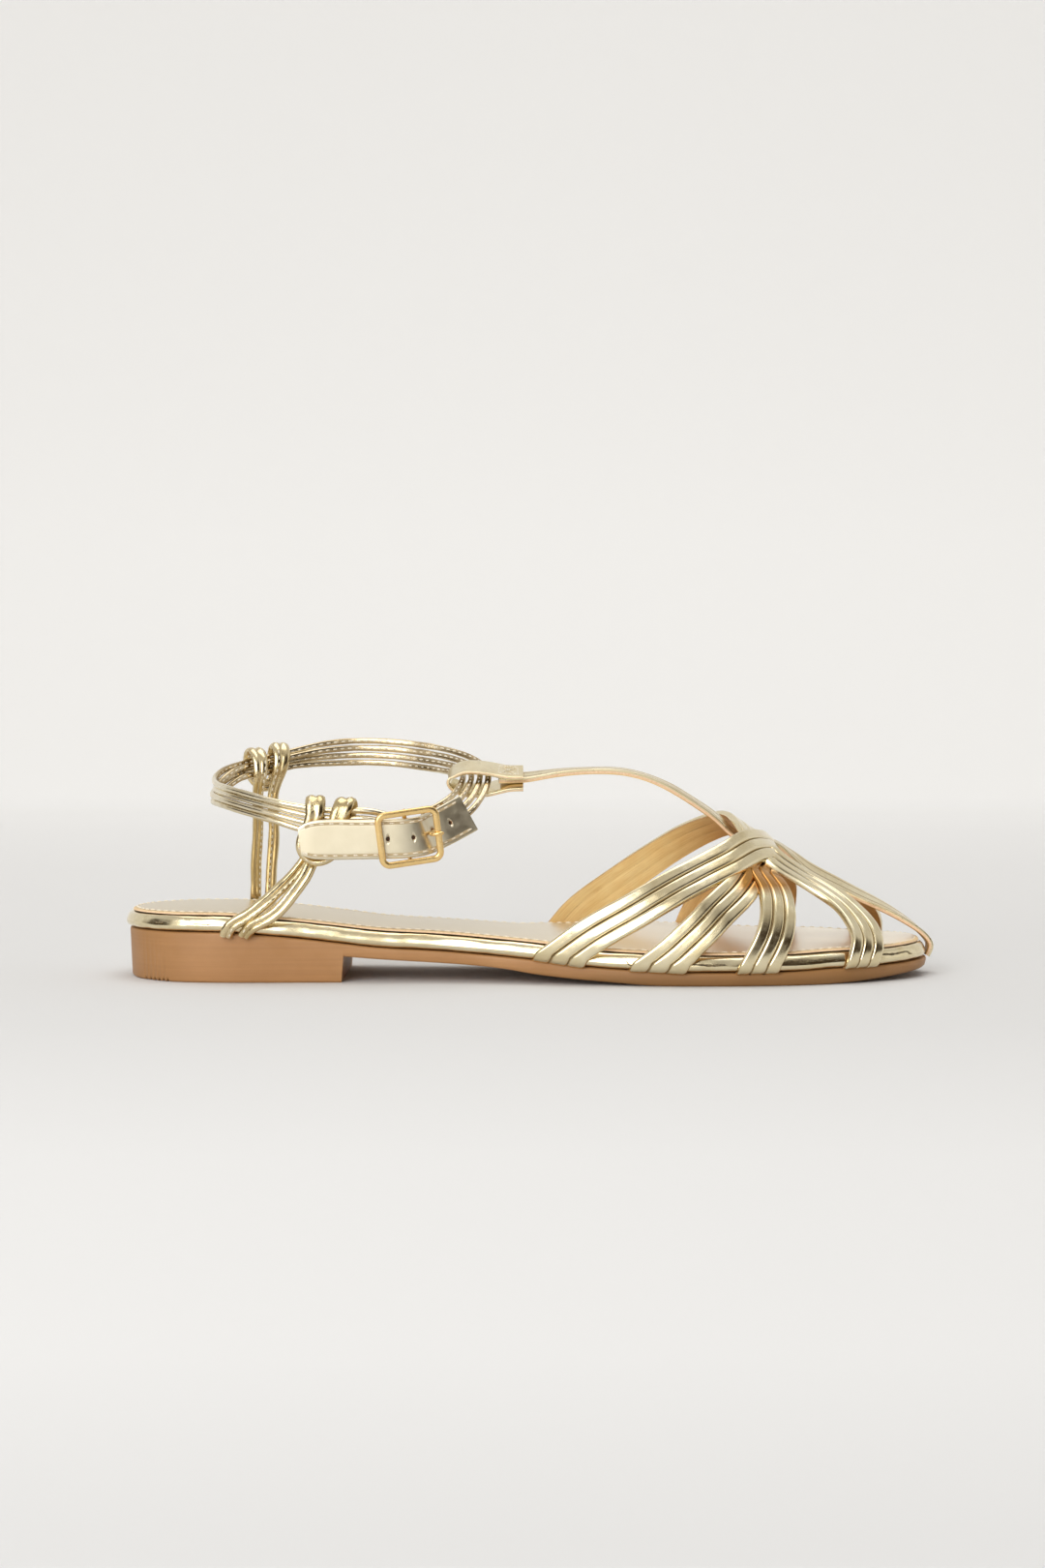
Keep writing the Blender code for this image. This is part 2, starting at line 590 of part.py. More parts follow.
def build_band(name, rows, finish):
    points, normals, across, press = band_frames(rows)
    verts, faces = sweep(points, normals, [band_section(p) for p in press], across)
    return mesh_object(name, verts, faces, finish)


def rolled_normals(points, degrees):
    """Outer normals of a strap that runs forwards, rolled towards the lateral side."""
    roll = np.radians(degrees)
    medial = np.stack([np.zeros(len(roll)), np.cos(roll), np.sin(roll)], axis=1)
    return np.cross(np.gradient(points, axis=0), medial)


def flat_section(width, thickness, bevel=0.35):
    w, t = width / 2, thickness / 2
    return [(-w, -t + bevel), (-w, t - bevel), (-w + bevel, t), (w - bevel, t),
            (w, t - bevel), (w, -t + bevel), (w - bevel, -t), (-w + bevel, -t)]


def build_t_strap(finish):
    rows = spline(T_STRAP, T_SECTIONS)
    verts, faces = sweep(rows[:, :3], rolled_normals(rows[:, :3], rows[:, 3]),
                         [flat_section(T_WIDTH, T_THICKNESS)] * len(rows))
    return mesh_object("t_strap", verts, faces, finish)


def fill_trapped_hollows(target):
    """Keep only the largest skin, so that what the crossing strips close off is solid."""
    work = bmesh.new()
    work.from_mesh(target.data)
    work.faces.ensure_lookup_table()
    unseen = set(work.faces)
    skins = []
    while unseen:
        front = [unseen.pop()]
        skin = list(front)
        while front:
            face = front.pop()
            for rim in face.edges:
                for other in rim.link_faces:
                    if other in unseen:
                        unseen.remove(other)
                        front.append(other)
                        skin.append(other)
        skins.append(skin)
    skins.sort(key=len, reverse=True)
    for skin in skins[1:]:
        bmesh.ops.delete(work, geom=skin, context="FACES")
    work.to_mesh(target.data)
    work.free()


def build_upper(finish):
    """All bands and the T-strap, joined where they cross."""
    whole = build_band("upper", BANDS["inner_middle"], finish)
    for key in ("outer_middle", "outer_rear", "inner_rear"):
        boolean(whole, build_band(key, BANDS[key], finish), "UNION")
        fill_trapped_hollows(whole)
    boolean(whole, build_t_strap(finish), "UNION")
    fill_trapped_hollows(whole)
    return whole


# --------------------------------------------------------------------- ankle
def round_section(diameter, sides):
    turn = 2 * math.pi / sides
    return [(diameter / 2 * math.cos(k * turn), diameter / 2 * math.sin(k * turn))
            for k in range(sides)]


def loop_frames(rows):
    """Directions of the ankle bundle: outwards from the ankle, and up."""
    points = rows[:, :3]
    along = unit(np.gradient(points, axis=0))
    centre = np.array([-57.0, 0.0, 0.0])
    outwards = (points - centre) * np.array([1.0, 1.0, 0.0])
    outwards = unit(outwards - along * np.sum(outwards * along, axis=1)[:, None])
    up = np.cross(along, outwards)
    up[up[:, 2] < 0] *= -1
    return points, outwards, unit(up)


def build_ankle_cord(index, finish):
    rows = spline(ANKLE_LOOP, CORD_SECTIONS)
    points, outwards, up = loop_frames(rows)
    roll = np.radians(rows[:, 3])[:, None]
    row_direction = np.cos(roll) * up + np.sin(roll) * outwards
    across = -np.sin(roll) * up + np.cos(roll) * outwards
    place = index - (CORD_COUNT - 1) / 2
    turn = 1.0 if index % 2 else -1.0
    points = points + row_direction * (rows[:, 4:5] * place) + across * (rows[:, 5:6] * turn)
    section = round_section(CORD_DIAMETER, CORD_SIDES)
    verts, faces = sweep(points, across, [section] * len(points))
    return mesh_object(f"ankle_cord_{index + 1}", verts, faces, finish)


def build_riser(name, plan, finish):
    """Two rolled strips side by side, swept along the route of the knot."""
    rows = spline(plan["route"], RISER_SECTIONS)
    facing = np.radians(rows[:, 3])[:, None]
    normals = np.cos(facing) * np.array(plan["outwards"]) + np.sin(facing) * np.array([0.0, 0.0, 1.0])
    t = RISER_THICKNESS / 2
    sections = [[(-w, -0.4 * t), (-w, 0.4 * t), (-0.5 * w, t), (0, 0.5 * t),
                 (0.5 * w, t), (w, 0.4 * t), (w, -0.4 * t), (0, -t)] for w in rows[:, 4] / 2]
    verts, faces = sweep(rows[:, :3], normals, sections)
    return mesh_object(name, verts, faces, finish)


def build_t_tab(finish):
    points = spline([(x, 0.0, z) for x, z in TAB_FOLD], 20)
    normals = rolled_normals(points, np.full(len(points), TAB_ROLL))
    verts, faces = sweep(points, normals, [flat_section(TAB_WIDTH, TAB_THICKNESS, 0.25)] * len(points))
    return mesh_object("t_tab", verts, faces, finish)


# -------------------------------------------------------------------- buckle
def outward_normals(points):
    along = unit(np.gradient(points, axis=0))
    normals = np.tile(np.array([0.0, -1.0, 0.0]), (len(points), 1))
    return unit(normals - along * np.sum(normals * along, axis=1)[:, None])


def cylinder(name, centre, axis, radius, length, finish, sides):
    axis = unit(np.array(axis, dtype=float))
    ends = [np.array(centre) - axis * length / 2, np.array(centre) + axis * length / 2]
    hint = np.array([0.0, 0.0, 1.0])
    verts, faces = sweep(ends, [hint, hint], [round_section(2 * radius, sides)] * 2)
    return mesh_object(name, verts, faces, finish)


def billet_line():
    rows = spline(BILLET, 24)
    return rows[:, :3], outward_normals(rows[:, :3]), rows[:, 3]


def billet_hole(index):
    """Centre and outward direction of a hole of the buckle strap."""
    points, normals, _ = billet_line()
    steps = np.linalg.norm(np.diff(points, axis=0), axis=1)
    distance = np.concatenate([[0.0], np.cumsum(steps)])
    at = np.interp(FIRST_HOLE_X, points[:, 0], distance) + index * HOLE_PITCH
    centre = np.array([np.interp(at, distance, points[:, c]) for c in range(3)])
    return centre, unit(np.array([np.interp(at, distance, normals[:, c]) for c in range(3)]))


def build_billet(finish):
    points, normals, heights = billet_line()
    sections = [flat_section(height, BILLET_THICKNESS, 0.4) for height in heights]
    verts, faces = sweep(points, normals, sections)
    strap = mesh_object("billet", verts, faces, finish)
    for index in range(HOLE_COUNT):
        centre, normal = billet_hole(index)
        width = HOLE_DIAMETER / 2
        if index == PRONG_HOLE:
            width = PRONG_WIRE / 2 + 1.6 * GAP
        cutter = cylinder("hole", centre, normal, width, 4.0, finish, 8)
        boolean(strap, cutter, "DIFFERENCE")
    return strap


def frame_axes():
    """Directions of the buckle frame: along the strap, up, and out of it."""
    yaw, roll, lean = (math.radians(v) for v in (FRAME_YAW, FRAME_ROLL, FRAME_LEAN))
    level = np.array([math.cos(yaw), math.sin(yaw), 0.0])
    outwards = np.array([math.sin(yaw), -math.cos(yaw), 0.0])
    upright = math.cos(lean) * np.array([0.0, 0.0, 1.0]) + math.sin(lean) * outwards
    out = math.cos(lean) * outwards - math.sin(lean) * np.array([0.0, 0.0, 1.0])
    along = level * math.cos(roll) - upright * math.sin(roll)
    up = level * math.sin(roll) + upright * math.cos(roll)
    return along, up, out


def rounded_rectangle(width, height, corner, arc_steps):
    points = []
    for cx, cy, start in ((1, 1, 0), (-1, 1, 90), (-1, -1, 180), (1, -1, 270)):
        for k in range(arc_steps + 1):
            a = math.radians(start + 90 * k / arc_steps)
            points.append((cx * (width / 2 - corner) + corner * math.cos(a),
                           cy * (height / 2 - corner) + corner * math.sin(a)))
    return points


def build_buckle_frame(finish):
    """Rounded frame of wire, with a bar across its middle that stands behind it."""
    along, up, out = frame_axes()
    centre = np.array(FRAME_CENTRE)
    middle = rounded_rectangle(FRAME_WIDTH - FRAME_WIRE, FRAME_HEIGHT - FRAME_WIRE,
                               FRAME_CORNER - FRAME_WIRE / 2, 3)
    sides = 8
    verts, faces = [], []
    n = len(middle)
    for i, (u, v) in enumerate(middle):
        step = unit(np.array(middle[(i + 1) % n]) - np.array(middle[i - 1]))
        outwards = np.array([step[1], -step[0]])
        for du, dv in round_section(FRAME_WIRE, sides):
            p = np.array([u, v]) + outwards * du
            verts.append(centre + along * p[0] + up * p[1] + out * dv)
    for i in range(n):
        for k in range(sides):
            a, b = i * sides + k, i * sides + (k + 1) % sides
            c, d = ((i + 1) % n) * sides + (k + 1) % sides, ((i + 1) % n) * sides + k
            faces.append((a, b, c, d))
    ring = mesh_object("buckle_frame", verts, faces, finish)
    reach = FRAME_HEIGHT / 2 - FRAME_WIRE / 2
    back = -CENTRE_BAR_DEPTH
    route = [(0, reach, 0), (0, reach, back * 0.7), (0, reach - 1.1, back), (0, 0, back),
             (0, -reach + 1.1, back), (0, -reach, back * 0.7), (0, -reach, 0)]
    points = [centre + along * a + up * b + out * c for a, b, c in route]
    verts, faces = sweep(points, [along] * len(points),
                         [round_section(2 * CENTRE_BAR_RADIUS, 6)] * len(points))
    boolean(ring, mesh_object("bar", verts, faces, finish), "UNION")
    return ring


def bar_centre():
    return np.array(FRAME_CENTRE) - frame_axes()[2] * CENTRE_BAR_DEPTH


def build_buckle_prong(finish):
    """Wire looped round the middle bar, through the strap and over the front bar."""
    along, up, out = frame_axes()
    ring = CENTRE_BAR_RADIUS + GAP + PRONG_WIRE / 2
    route = [bar_centre() + ring * (along * math.cos(a) + out * math.sin(a))
             for a in np.radians(np.linspace(20, -250, 7))][::-1]
    hole, normal = billet_hole(PRONG_HOLE)
    rest = FRAME_WIRE / 2 + GAP + PRONG_WIRE / 2
    bar_middle = np.array(FRAME_CENTRE) + along * (FRAME_WIDTH - FRAME_WIRE) / 2
    tip = bar_middle + along * 1.6 + out * rest * 0.8
    route = route[::-1]
    route += [hole - normal * 0.8, hole + normal * 0.8, bar_middle - along * 2.1 + out * 0.7,
              bar_middle - along * 0.5 + out * rest, tip]
    rows = spline(route, 26)
    verts, faces = sweep(rows, [up] * len(rows), [round_section(PRONG_WIRE, 6)] * len(rows))
    return mesh_object("buckle_prong", verts, faces, finish)


def build_buckle_tab(finish):
    """Strip folded round the middle bar, with a slot for the prong."""
    along, up, out = frame_axes()
    bar = bar_centre()
    ring = CENTRE_BAR_RADIUS + GAP + BUCKLE_TAB_THICKNESS / 2
    inwards = unit(along - 1.2 * out)
    side = unit(out + 0.83 * along)
    fold = [bar + inwards * BUCKLE_TAB_LENGTH + side * 0.6, bar + inwards * 4.0 + side * 0.8]
    fold += [bar + ring * (inwards * math.cos(a) + side * math.sin(a))
             for a in np.radians((75, 130, 180, 230, 285))]
    fold += [bar + inwards * 4.0 - side * 0.8, bar + inwards * BUCKLE_TAB_LENGTH - side * 0.6]
    points = spline(fold, 20)
    normals = np.cross(np.gradient(points, axis=0), up)
    section = flat_section(BUCKLE_TAB_WIDTH, BUCKLE_TAB_THICKNESS, 0.2)
    verts, faces = sweep(points, normals, [section] * len(points))
    tab = mesh_object("buckle_tab", verts, faces, finish)
    slot = PRONG_WIRE + 4 * GAP
    corners = [bar + along * a + up * b + out * c for a in (-4.0, 2.6) for b in (-slot / 2, slot / 2)
               for c in (-3.0, 3.0)]
    box = [(0, 1, 3, 2), (4, 6, 7, 5), (0, 4, 5, 1), (2, 3, 7, 6), (0, 2, 6, 4), (1, 5, 7, 3)]
    boolean(tab, mesh_object("slot", corners, box, finish), "DIFFERENCE")
    return tab


def main():
    for old in list(bpy.data.objects):
        bpy.data.objects.remove(old)

    rubber = material("tan_rubber", (0.47, 0.27, 0.13), 0.55, 0.0)
    foil = material("gold_foil_leather", (0.80, 0.70, 0.44), 0.28, 0.85)
    satin = material("sock_satin", (0.60, 0.48, 0.33), 0.55, 0.1)
    brass = material("buckle_gold", (0.83, 0.60, 0.26), 0.22, 1.0)

    build_outsole(rubber)
    build_footbed(foil)
    build_sock(satin)
    build_upper(foil)
    build_t_tab(foil)
    for index in range(CORD_COUNT):
        build_ankle_cord(index, foil)
    for name, plan in RISERS.items():
        build_riser(name, plan, foil)
    build_billet(foil)
    build_buckle_frame(brass)
    build_buckle_prong(brass)
    build_buckle_tab(foil)


main()
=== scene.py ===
# %% [markdown]
# # A gold huarache sandal, dressed piece by piece
# The solids of the sandal are already packed in one shared frame. This lesson loads
# them and gives each one its looks: a finer mesh where the eye wants rolled edges
# and soft leather, and a finish made of nodes. Lengths are thought of in
# millimetres, as a shoemaker does, and turned into metres where a mesh is made.
# X runs from heel to toe, +Y to the inner side of the foot, +Z up.

# %% Load the frame
import math

import bmesh
import bpy
import numpy as np
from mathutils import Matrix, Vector, noise


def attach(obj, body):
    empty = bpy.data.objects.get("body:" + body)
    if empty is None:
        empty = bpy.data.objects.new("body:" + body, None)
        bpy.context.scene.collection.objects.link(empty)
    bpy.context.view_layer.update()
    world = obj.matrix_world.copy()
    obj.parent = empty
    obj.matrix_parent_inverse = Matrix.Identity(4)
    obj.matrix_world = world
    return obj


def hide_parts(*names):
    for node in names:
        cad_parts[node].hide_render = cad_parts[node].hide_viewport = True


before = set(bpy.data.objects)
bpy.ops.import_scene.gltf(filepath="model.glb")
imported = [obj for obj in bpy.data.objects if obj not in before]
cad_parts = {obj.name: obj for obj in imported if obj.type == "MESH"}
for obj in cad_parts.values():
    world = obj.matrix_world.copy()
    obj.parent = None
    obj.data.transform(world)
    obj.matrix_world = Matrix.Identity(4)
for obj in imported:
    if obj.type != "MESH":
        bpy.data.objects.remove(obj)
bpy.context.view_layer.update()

MM = 0.001
GAP = 0.3                              # between two pieces, in millimetres
print("solids in the frame:", ", ".join(sorted(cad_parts)))

# %% [markdown]
# ## Reading a maker's tables
# A last is described by a few measured rows: how wide the sole is here, how high the
# instep is there. One could fit a curve by hand in the viewport, but a table that is
# read by a smooth rule can be changed row by row. `profile` never swings past its own
# rows, so an edge stays fair.

# %% A fair edge from a table
def column(table, index):
    return np.array([row[index] for row in table], dtype=float)


def profile(table, x, value=1):
    """Smooth value read at x, never past the table's own points (monotone cubic)."""
    xs = column(table, 0)
    ys = column(table, value)
    step = np.diff(xs)
    slope = np.diff(ys) / step
    tangent = np.zeros(len(xs))
    tangent[0], tangent[-1] = slope[0], slope[-1]
    for i in range(1, len(xs) - 1):
        if slope[i - 1] * slope[i] > 0:
            before = 2 * step[i] + step[i - 1]
            after = step[i] + 2 * step[i - 1]
            tangent[i] = (before + after) / (before / slope[i - 1] + after / slope[i])
    x = min(max(x, xs[0]), xs[-1])
    i = min(max(int(np.searchsorted(xs, x)) - 1, 0), len(xs) - 2)
    t = (x - xs[i]) / step[i]
    return ((2 * t ** 3 - 3 * t ** 2 + 1) * ys[i]
            + (t ** 3 - 2 * t ** 2 + t) * step[i] * tangent[i]
            + (3 * t ** 2 - 2 * t ** 3) * ys[i + 1]
            + (t ** 3 - t ** 2) * step[i] * tangent[i + 1])


print("read between two rows:", profile([(0, 0.0), (10, 4.0)], 5))

# %% [markdown]
# ### A line in space
# A strap runs freely in space, so it may swing between its rows, as a bent cane does.
# A curve object does the same in the viewport. As a function it can also carry a width
# or a roll along with the place, one more column for each.

# %% A line through given places
def distances(points):
    """How far along a line each of its points lies."""
    return np.concatenate([[0.0], np.cumsum(np.linalg.norm(np.diff(points, axis=0), axis=1))])


def spline(rows, count, measure=None):
    """Natural cubic through the rows, read at `count` evenly spaced places."""
    rows = np.array(rows, dtype=float)
    track = rows[:, :3] if measure is None else np.array(measure)
    knots = distances(track)
    step = np.diff(knots)
    n = len(rows)
    matrix = np.zeros((n, n))
    right = np.zeros((n, rows.shape[1]))
    matrix[0, 0] = matrix[-1, -1] = 1.0
    for i in range(1, n - 1):
        matrix[i, i - 1] = step[i - 1]
        matrix[i, i] = 2 * (step[i - 1] + step[i])
        matrix[i, i + 1] = step[i]
        right[i] = 6 * ((rows[i + 1] - rows[i]) / step[i] - (rows[i] - rows[i - 1]) / step[i - 1])
    bend = np.linalg.solve(matrix, right)
    out = []
    for s in np.linspace(0.0, knots[-1], count):
        i = min(max(int(np.searchsorted(knots, s)) - 1, 0), n - 2)
        a, b = knots[i + 1] - s, s - knots[i]
        h = step[i]
        out.append((bend[i] * a ** 3 + bend[i + 1] * b ** 3) / (6 * h)
                   + (rows[i] / h - bend[i] * h / 6) * a
                   + (rows[i + 1] / h - bend[i + 1] * h / 6) * b)
    return np.array(out)


print("halfway along a bent line:", spline([(0, 0, 0), (5, 1, 0), (10, 0, 0)], 5)[2])

# %% [markdown]
# ### Directions along a line
# Four small words of vector arithmetic come back in every strap: a length of one, the
# way a line heads, what of a direction stands square to that, and a row read at a
# distance. Named once, they say in the code what a sketch would show.

# %% Directions
def unit(vectors):
    return vectors / np.linalg.norm(vectors, axis=-1, keepdims=True)


def heading(points):
    return unit(np.gradient(points, axis=0))


def square_to(vectors, along):
    return unit(vectors - along * np.sum(vectors * along, axis=1)[:, None])


def read_line(table, far, at):
    """A row of the table read at a distance along the line."""
    return np.array([np.interp(at, far, table[:, c]) for c in range(3)])


print("a step of 3, 0, 4 heads towards", unit(np.array([3.0, 0.0, 4.0])))

# %% [markdown]
# ## From points to a piece
# Every part of the sandal is a closed skin. The mesh could be drawn with operators,
# but plain lists of points and faces say exactly what is where. `mesh_piece` also
# keeps a map named "run": how far along the strap a point is, and how far round it,
# in centimetres. Finishes use it for grain that follows the leather.

# %% A closed skin
def mesh_piece(name, points, faces, finishes, finish_of_face=None, run=None, sharp=50):
    """A closed mesh with its faces outwards; points in millimetres."""
    mesh = bpy.data.meshes.new(name)
    mesh.from_pydata((np.array(points, dtype=float) * MM).tolist(), [], faces)
    for finish in finishes:
        mesh.materials.append(finish)
    if finish_of_face is not None:
        mesh.polygons.foreach_set("material_index", finish_of_face)
    if run is not None:
        layer = mesh.uv_layers.new(name="run")
        layer.data.foreach_set("uv", np.array(run, dtype=np.float32).ravel())
    work = bmesh.new()
    work.from_mesh(mesh)
    bmesh.ops.recalc_face_normals(work, faces=work.faces)
    work.to_mesh(mesh)
    work.free()
    mesh.shade_smooth()
    mesh.set_sharp_from_angle(angle=math.radians(sharp))
    made = bpy.data.objects.new(name, mesh)
    bpy.context.scene.collection.objects.link(made)
    return made


print("a millimetre in the frame's own measure:", MM)

# %% [markdown]
# ### Soft dents and the place in the frame
# No leather is straight. A displace modifier with a cloud texture would dent it, and
# `dent` does the same with smooth noise and a size for each direction, so dents can be
# long along the foot. `wear` then hangs the piece on the frame: it rides on the one
# body and takes the place of its solids.

# %% Dents and hanging
def dent(piece, depth, size, seed):
    """Soft dents up to `depth` deep and about `size` (along x, y, z) apart."""
    mesh = piece.data
    count = len(mesh.vertices)
    place = np.empty(count * 3, dtype=np.float32)
    normal = np.empty(count * 3, dtype=np.float32)
    mesh.vertices.foreach_get("co", place)
    mesh.vertex_normals.foreach_get("vector", normal)
    place, normal = place.reshape(-1, 3), normal.reshape(-1, 3)
    scaled = place / MM / np.array(size, dtype=float) + seed
    amount = np.array([noise.noise(Vector(p)) for p in scaled]) * depth * MM
    mesh.vertices.foreach_set("co", (place + normal * amount[:, None]).ravel())
    mesh.update()


def wear(piece, slot, *nodes):
    """Fix the piece in the frame: its body and the solids it stands for. `slot` is not used."""
    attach(piece, "root")
    if nodes:
        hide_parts(*nodes)
    faces = sum(len(p.vertices) - 2 for p in piece.data.polygons)
    print(f"{piece.name}: {faces} triangles")


print("every piece rides on the root body")

# %% [markdown]
# ## Sweeping a section along a line
# Straps, cords and wires are all one section carried along a line. Blender's curve
# bevel could do it, but it turns the section by its own rule. Here the outward
# direction is given at each place, so a flat strap lies as the maker laid it.
# The first helper makes the faces. Two neighbouring rings of points are always joined
# by the same belt of quads, and a ring that comes back to its start, like the frame
# of a buckle, needs one belt more.

# %% Belts of quads
def tube_faces(rings, sides, base=0, closed=False):
    """Quads from each ring of points to the next; `closed` joins the last to the first."""
    faces = []
    for i in range(rings if closed else rings - 1):
        here, there = base + i * sides, base + (i + 1) % rings * sides
        faces += [(here + k, here + (k + 1) % sides, there + (k + 1) % sides, there + k)
                  for k in range(sides)]
    return faces


print("three rings of four points make", len(tube_faces(3, 4)), "quads")

# %% [markdown]
# ### The sweep itself
# At every place the section is laid out across the line and along its normal. The
# 'run' map holds how far each corner lies along the strap and around it, in
# centimetres. Each edge of the section has a zone number, and the zones pick the
# finish: foil outside, lining inside, raw leather where the knife has cut.

# %% The sweep
CENTIMETRE = 10.0                      # in millimetres


def sweep(points, normals, sections, across=None, zones=None):
    """Closed tube with one normal and one section for all places, or one for each.
    Returns what `mesh_piece` needs: points, faces, zones, run."""
    points = np.array(points, dtype=float)
    along = heading(points)
    normals = square_to(np.broadcast_to(np.array(normals, dtype=float), points.shape), along)
    if across is None:
        across = np.cross(normals, along)
    sections = np.array(sections, dtype=float)
    if sections.ndim == 2:
        sections = np.repeat(sections[None], len(points), axis=0)
    count, around = sections.shape[:2]
    skin = (points[:, None] + across[:, None] * sections[..., :1]
            + normals[:, None] * sections[..., 1:])
    far = distances(points) / CENTIMETRE
    middle = sections[count // 2]
    turn = distances(np.vstack([middle, middle[:1]])) / CENTIMETRE
    zones = [0] * around if zones is None else zones
    faces, face_zones, run = tube_faces(count, around), zones * (count - 1), []
    for i in range(count - 1):
        for k in range(around):
            run += [(far[i], turn[k]), (far[i], turn[k + 1]),
                    (far[i + 1], turn[k + 1]), (far[i + 1], turn[k])]
    for first in (0, count - 1):
        faces.append(tuple(range(first * around, (first + 1) * around)))
        face_zones.append(max(zones))
        run += [(far[first], turn[k]) for k in range(around)]
    return skin.reshape(-1, 3), faces, face_zones, run


def swept_piece(name, points, normals, sections, finishes, across=None, zones=None, sharp=50):
    skin, faces, face_zones, run = sweep(points, normals, sections, across, zones)
    return mesh_piece(name, skin, faces, finishes, face_zones, run, sharp)


def round_section(width, height, sides):
    turns = np.arange(sides) * 2 * math.pi / sides
    return [(width / 2 * math.cos(t), height / 2 * math.sin(t)) for t in turns]


print("a round wire of 8 sides:", len(round_section(1.0, 1.0, 8)), "points")

# %% [markdown]
# ## The camera and the sweep of paper
# The camera stands low beside the sandal: level with the ankle straps, a short
# telephoto lens, tipped down by less than two degrees. A camera aimed by a constraint
# would do too, but a place and a tip are enough for a thing that doesn't move.

# %% Camera
CAMERA_PLACE = (-2.4, -820.0, 85.0)
CAMERA_TIP = 1.807                     # degrees down
LENS = 60.5                            # on a 36 mm frame

camera = bpy.data.objects.new("camera", bpy.data.cameras.new("camera"))
camera.data.sensor_width = 36.0
camera.data.lens = LENS
camera.location = [v * MM for v in CAMERA_PLACE]
camera.rotation_euler = (math.radians(90 - CAMERA_TIP), 0.0, 0.0)
bpy.context.scene.collection.objects.link(camera)
bpy.context.scene.camera = camera
print("camera looks from", CAMERA_PLACE, "mm, lens", LENS, "mm")

# %% [markdown]
# ### The sheet of paper
# In a studio a roll of pale paper hangs on the wall and runs out over the floor, so no
# line is seen where the floor ends. A plane with a bevelled edge would do; the side
# line below has the same round bend, and is as wide as the view needs from any side.
# The paper isn't part of the sandal.

# %% Paper
SWEEP_HALF_WIDTH = 6000.0
SWEEP_FRONT = -3000.0
SWEEP_BACK = 1500.0
SWEEP_BEND = 1600.0
SWEEP_TOP = 4200.0
SWEEP_STEPS = 24


def paper_sweep(finish):
    """Side line of the paper: along the floor, round the bend and up."""
    line = [(SWEEP_FRONT, 0.0), (SWEEP_BACK, 0.0)]
    for step in range(1, SWEEP_STEPS + 1):
        turn = math.radians(90 * step / SWEEP_STEPS)
        line.append((SWEEP_BACK + SWEEP_BEND * math.sin(turn),
                     SWEEP_BEND * (1 - math.cos(turn))))
    line.append((SWEEP_BACK + SWEEP_BEND, SWEEP_TOP))
    points, faces = [], []
    for y, z in line:
        points += [(-SWEEP_HALF_WIDTH, y, z), (SWEEP_HALF_WIDTH, y, z)]
    for i in range(len(line) - 1):
        faces.append((2 * i, 2 * i + 1, 2 * i + 3, 2 * i + 2))
    mesh = bpy.data.meshes.new("paper_sweep")
    mesh.from_pydata((np.array(points) * MM).tolist(), [], faces)
    mesh.shade_smooth()
    mesh.materials.append(finish)
    made = bpy.data.objects.new("paper_sweep", mesh)
    bpy.context.scene.collection.objects.link(made)
    return made


print("paper rises", SWEEP_TOP, "mm behind the sandal")

# %% [markdown]
# ## Finishes from nodes
# A finish is a small machine of nodes: noises decide where the colour is warmer,
# where the surface is rougher and where it is bumpy. Image textures could do it too,
# but noises work at any scale and on every side. `grow` adds one node and plugs its
# inputs, so that each finish reads like a recipe. What is the same all over the
# surface is set on the shader itself.

# %% A helper that grows nodes
def grow(tree, kind, settings=(), **inputs):
    """Add a node; an input is a number, a colour or another node's socket."""
    node = tree.nodes.new(kind)
    for key, value in dict(settings).items():
        setattr(node, key, value)
    for key, value in inputs.items():
        place = int(key[1:]) if key[1:].isdigit() else key.replace("_", " ")
        socket = node.inputs[place]
        if isinstance(value, bpy.types.NodeSocket):
            tree.links.new(value, socket)
        else:
            socket.default_value = value
    return node


def blank_finish(name, **fixed):
    """A new material; `fixed` are the shader's sockets that don't vary."""
    made = bpy.data.materials.new(name)
    made.use_nodes = True
    tree = made.node_tree
    shader = tree.nodes["Principled BSDF"]
    for key, value in fixed.items():
        shader.inputs[key.replace("_", " ")].default_value = value
    return made, tree, shader


print("materials that came with the frame:", len(bpy.data.materials))

# %% [markdown]
# ### Words of a recipe
# Five small steps come back in every finish: cloudy noise, stretching one range to
# another, mixing two colours, a sum, and a bump. Named once, they keep the recipes
# short. A node group would do the same for someone who works in the node editor.

# %% Steps of a recipe
NOISE_ROUGHNESS = 0.55


def noise_of(tree, coordinates, scale, detail):
    node = grow(tree, "ShaderNodeTexNoise", Vector=coordinates, Scale=scale, Detail=detail,
                Roughness=NOISE_ROUGHNESS)
    return node.outputs["Fac"]


def ranged(tree, value, low, high, to_low=0.0, to_high=1.0):
    node = grow(tree, "ShaderNodeMapRange", i0=value, i1=low, i2=high, i3=to_low, i4=to_high)
    return node.outputs["Result"]


def blended(tree, amount, first, second):
    node = grow(tree, "ShaderNodeMix", {"data_type": "RGBA"}, i0=amount, i6=first, i7=second)
    return node.outputs[2]


def calculate(tree, operation, first, second=0.0):
    return grow(tree, "ShaderNodeMath", {"operation": operation}, i0=first, i1=second).outputs[0]


def bumped(tree, height, strength, distance, normal=None):
    inputs = {"Height": height, "Strength": strength, "Distance": distance * MM}
    if normal is not None:
        inputs["Normal"] = normal
    return grow(tree, "ShaderNodeBump", **inputs).outputs["Normal"]


print("the steps of a recipe are ready")

# %% [markdown]
# ### Where a recipe looks, and where it ends
# A pattern needs a place to be read at. Object coordinates run through the whole piece,
# so a stain or a cloud doesn't follow its surface. The 'run' map made by the sweep does
# follow it, so streaks lie along the strap. Stretching either of them turns round
# clouds into long fibres. The last helper joins the finished values to the shader.

# %% Places and plugs
def object_place(tree):
    return grow(tree, "ShaderNodeTexCoord").outputs["Object"]


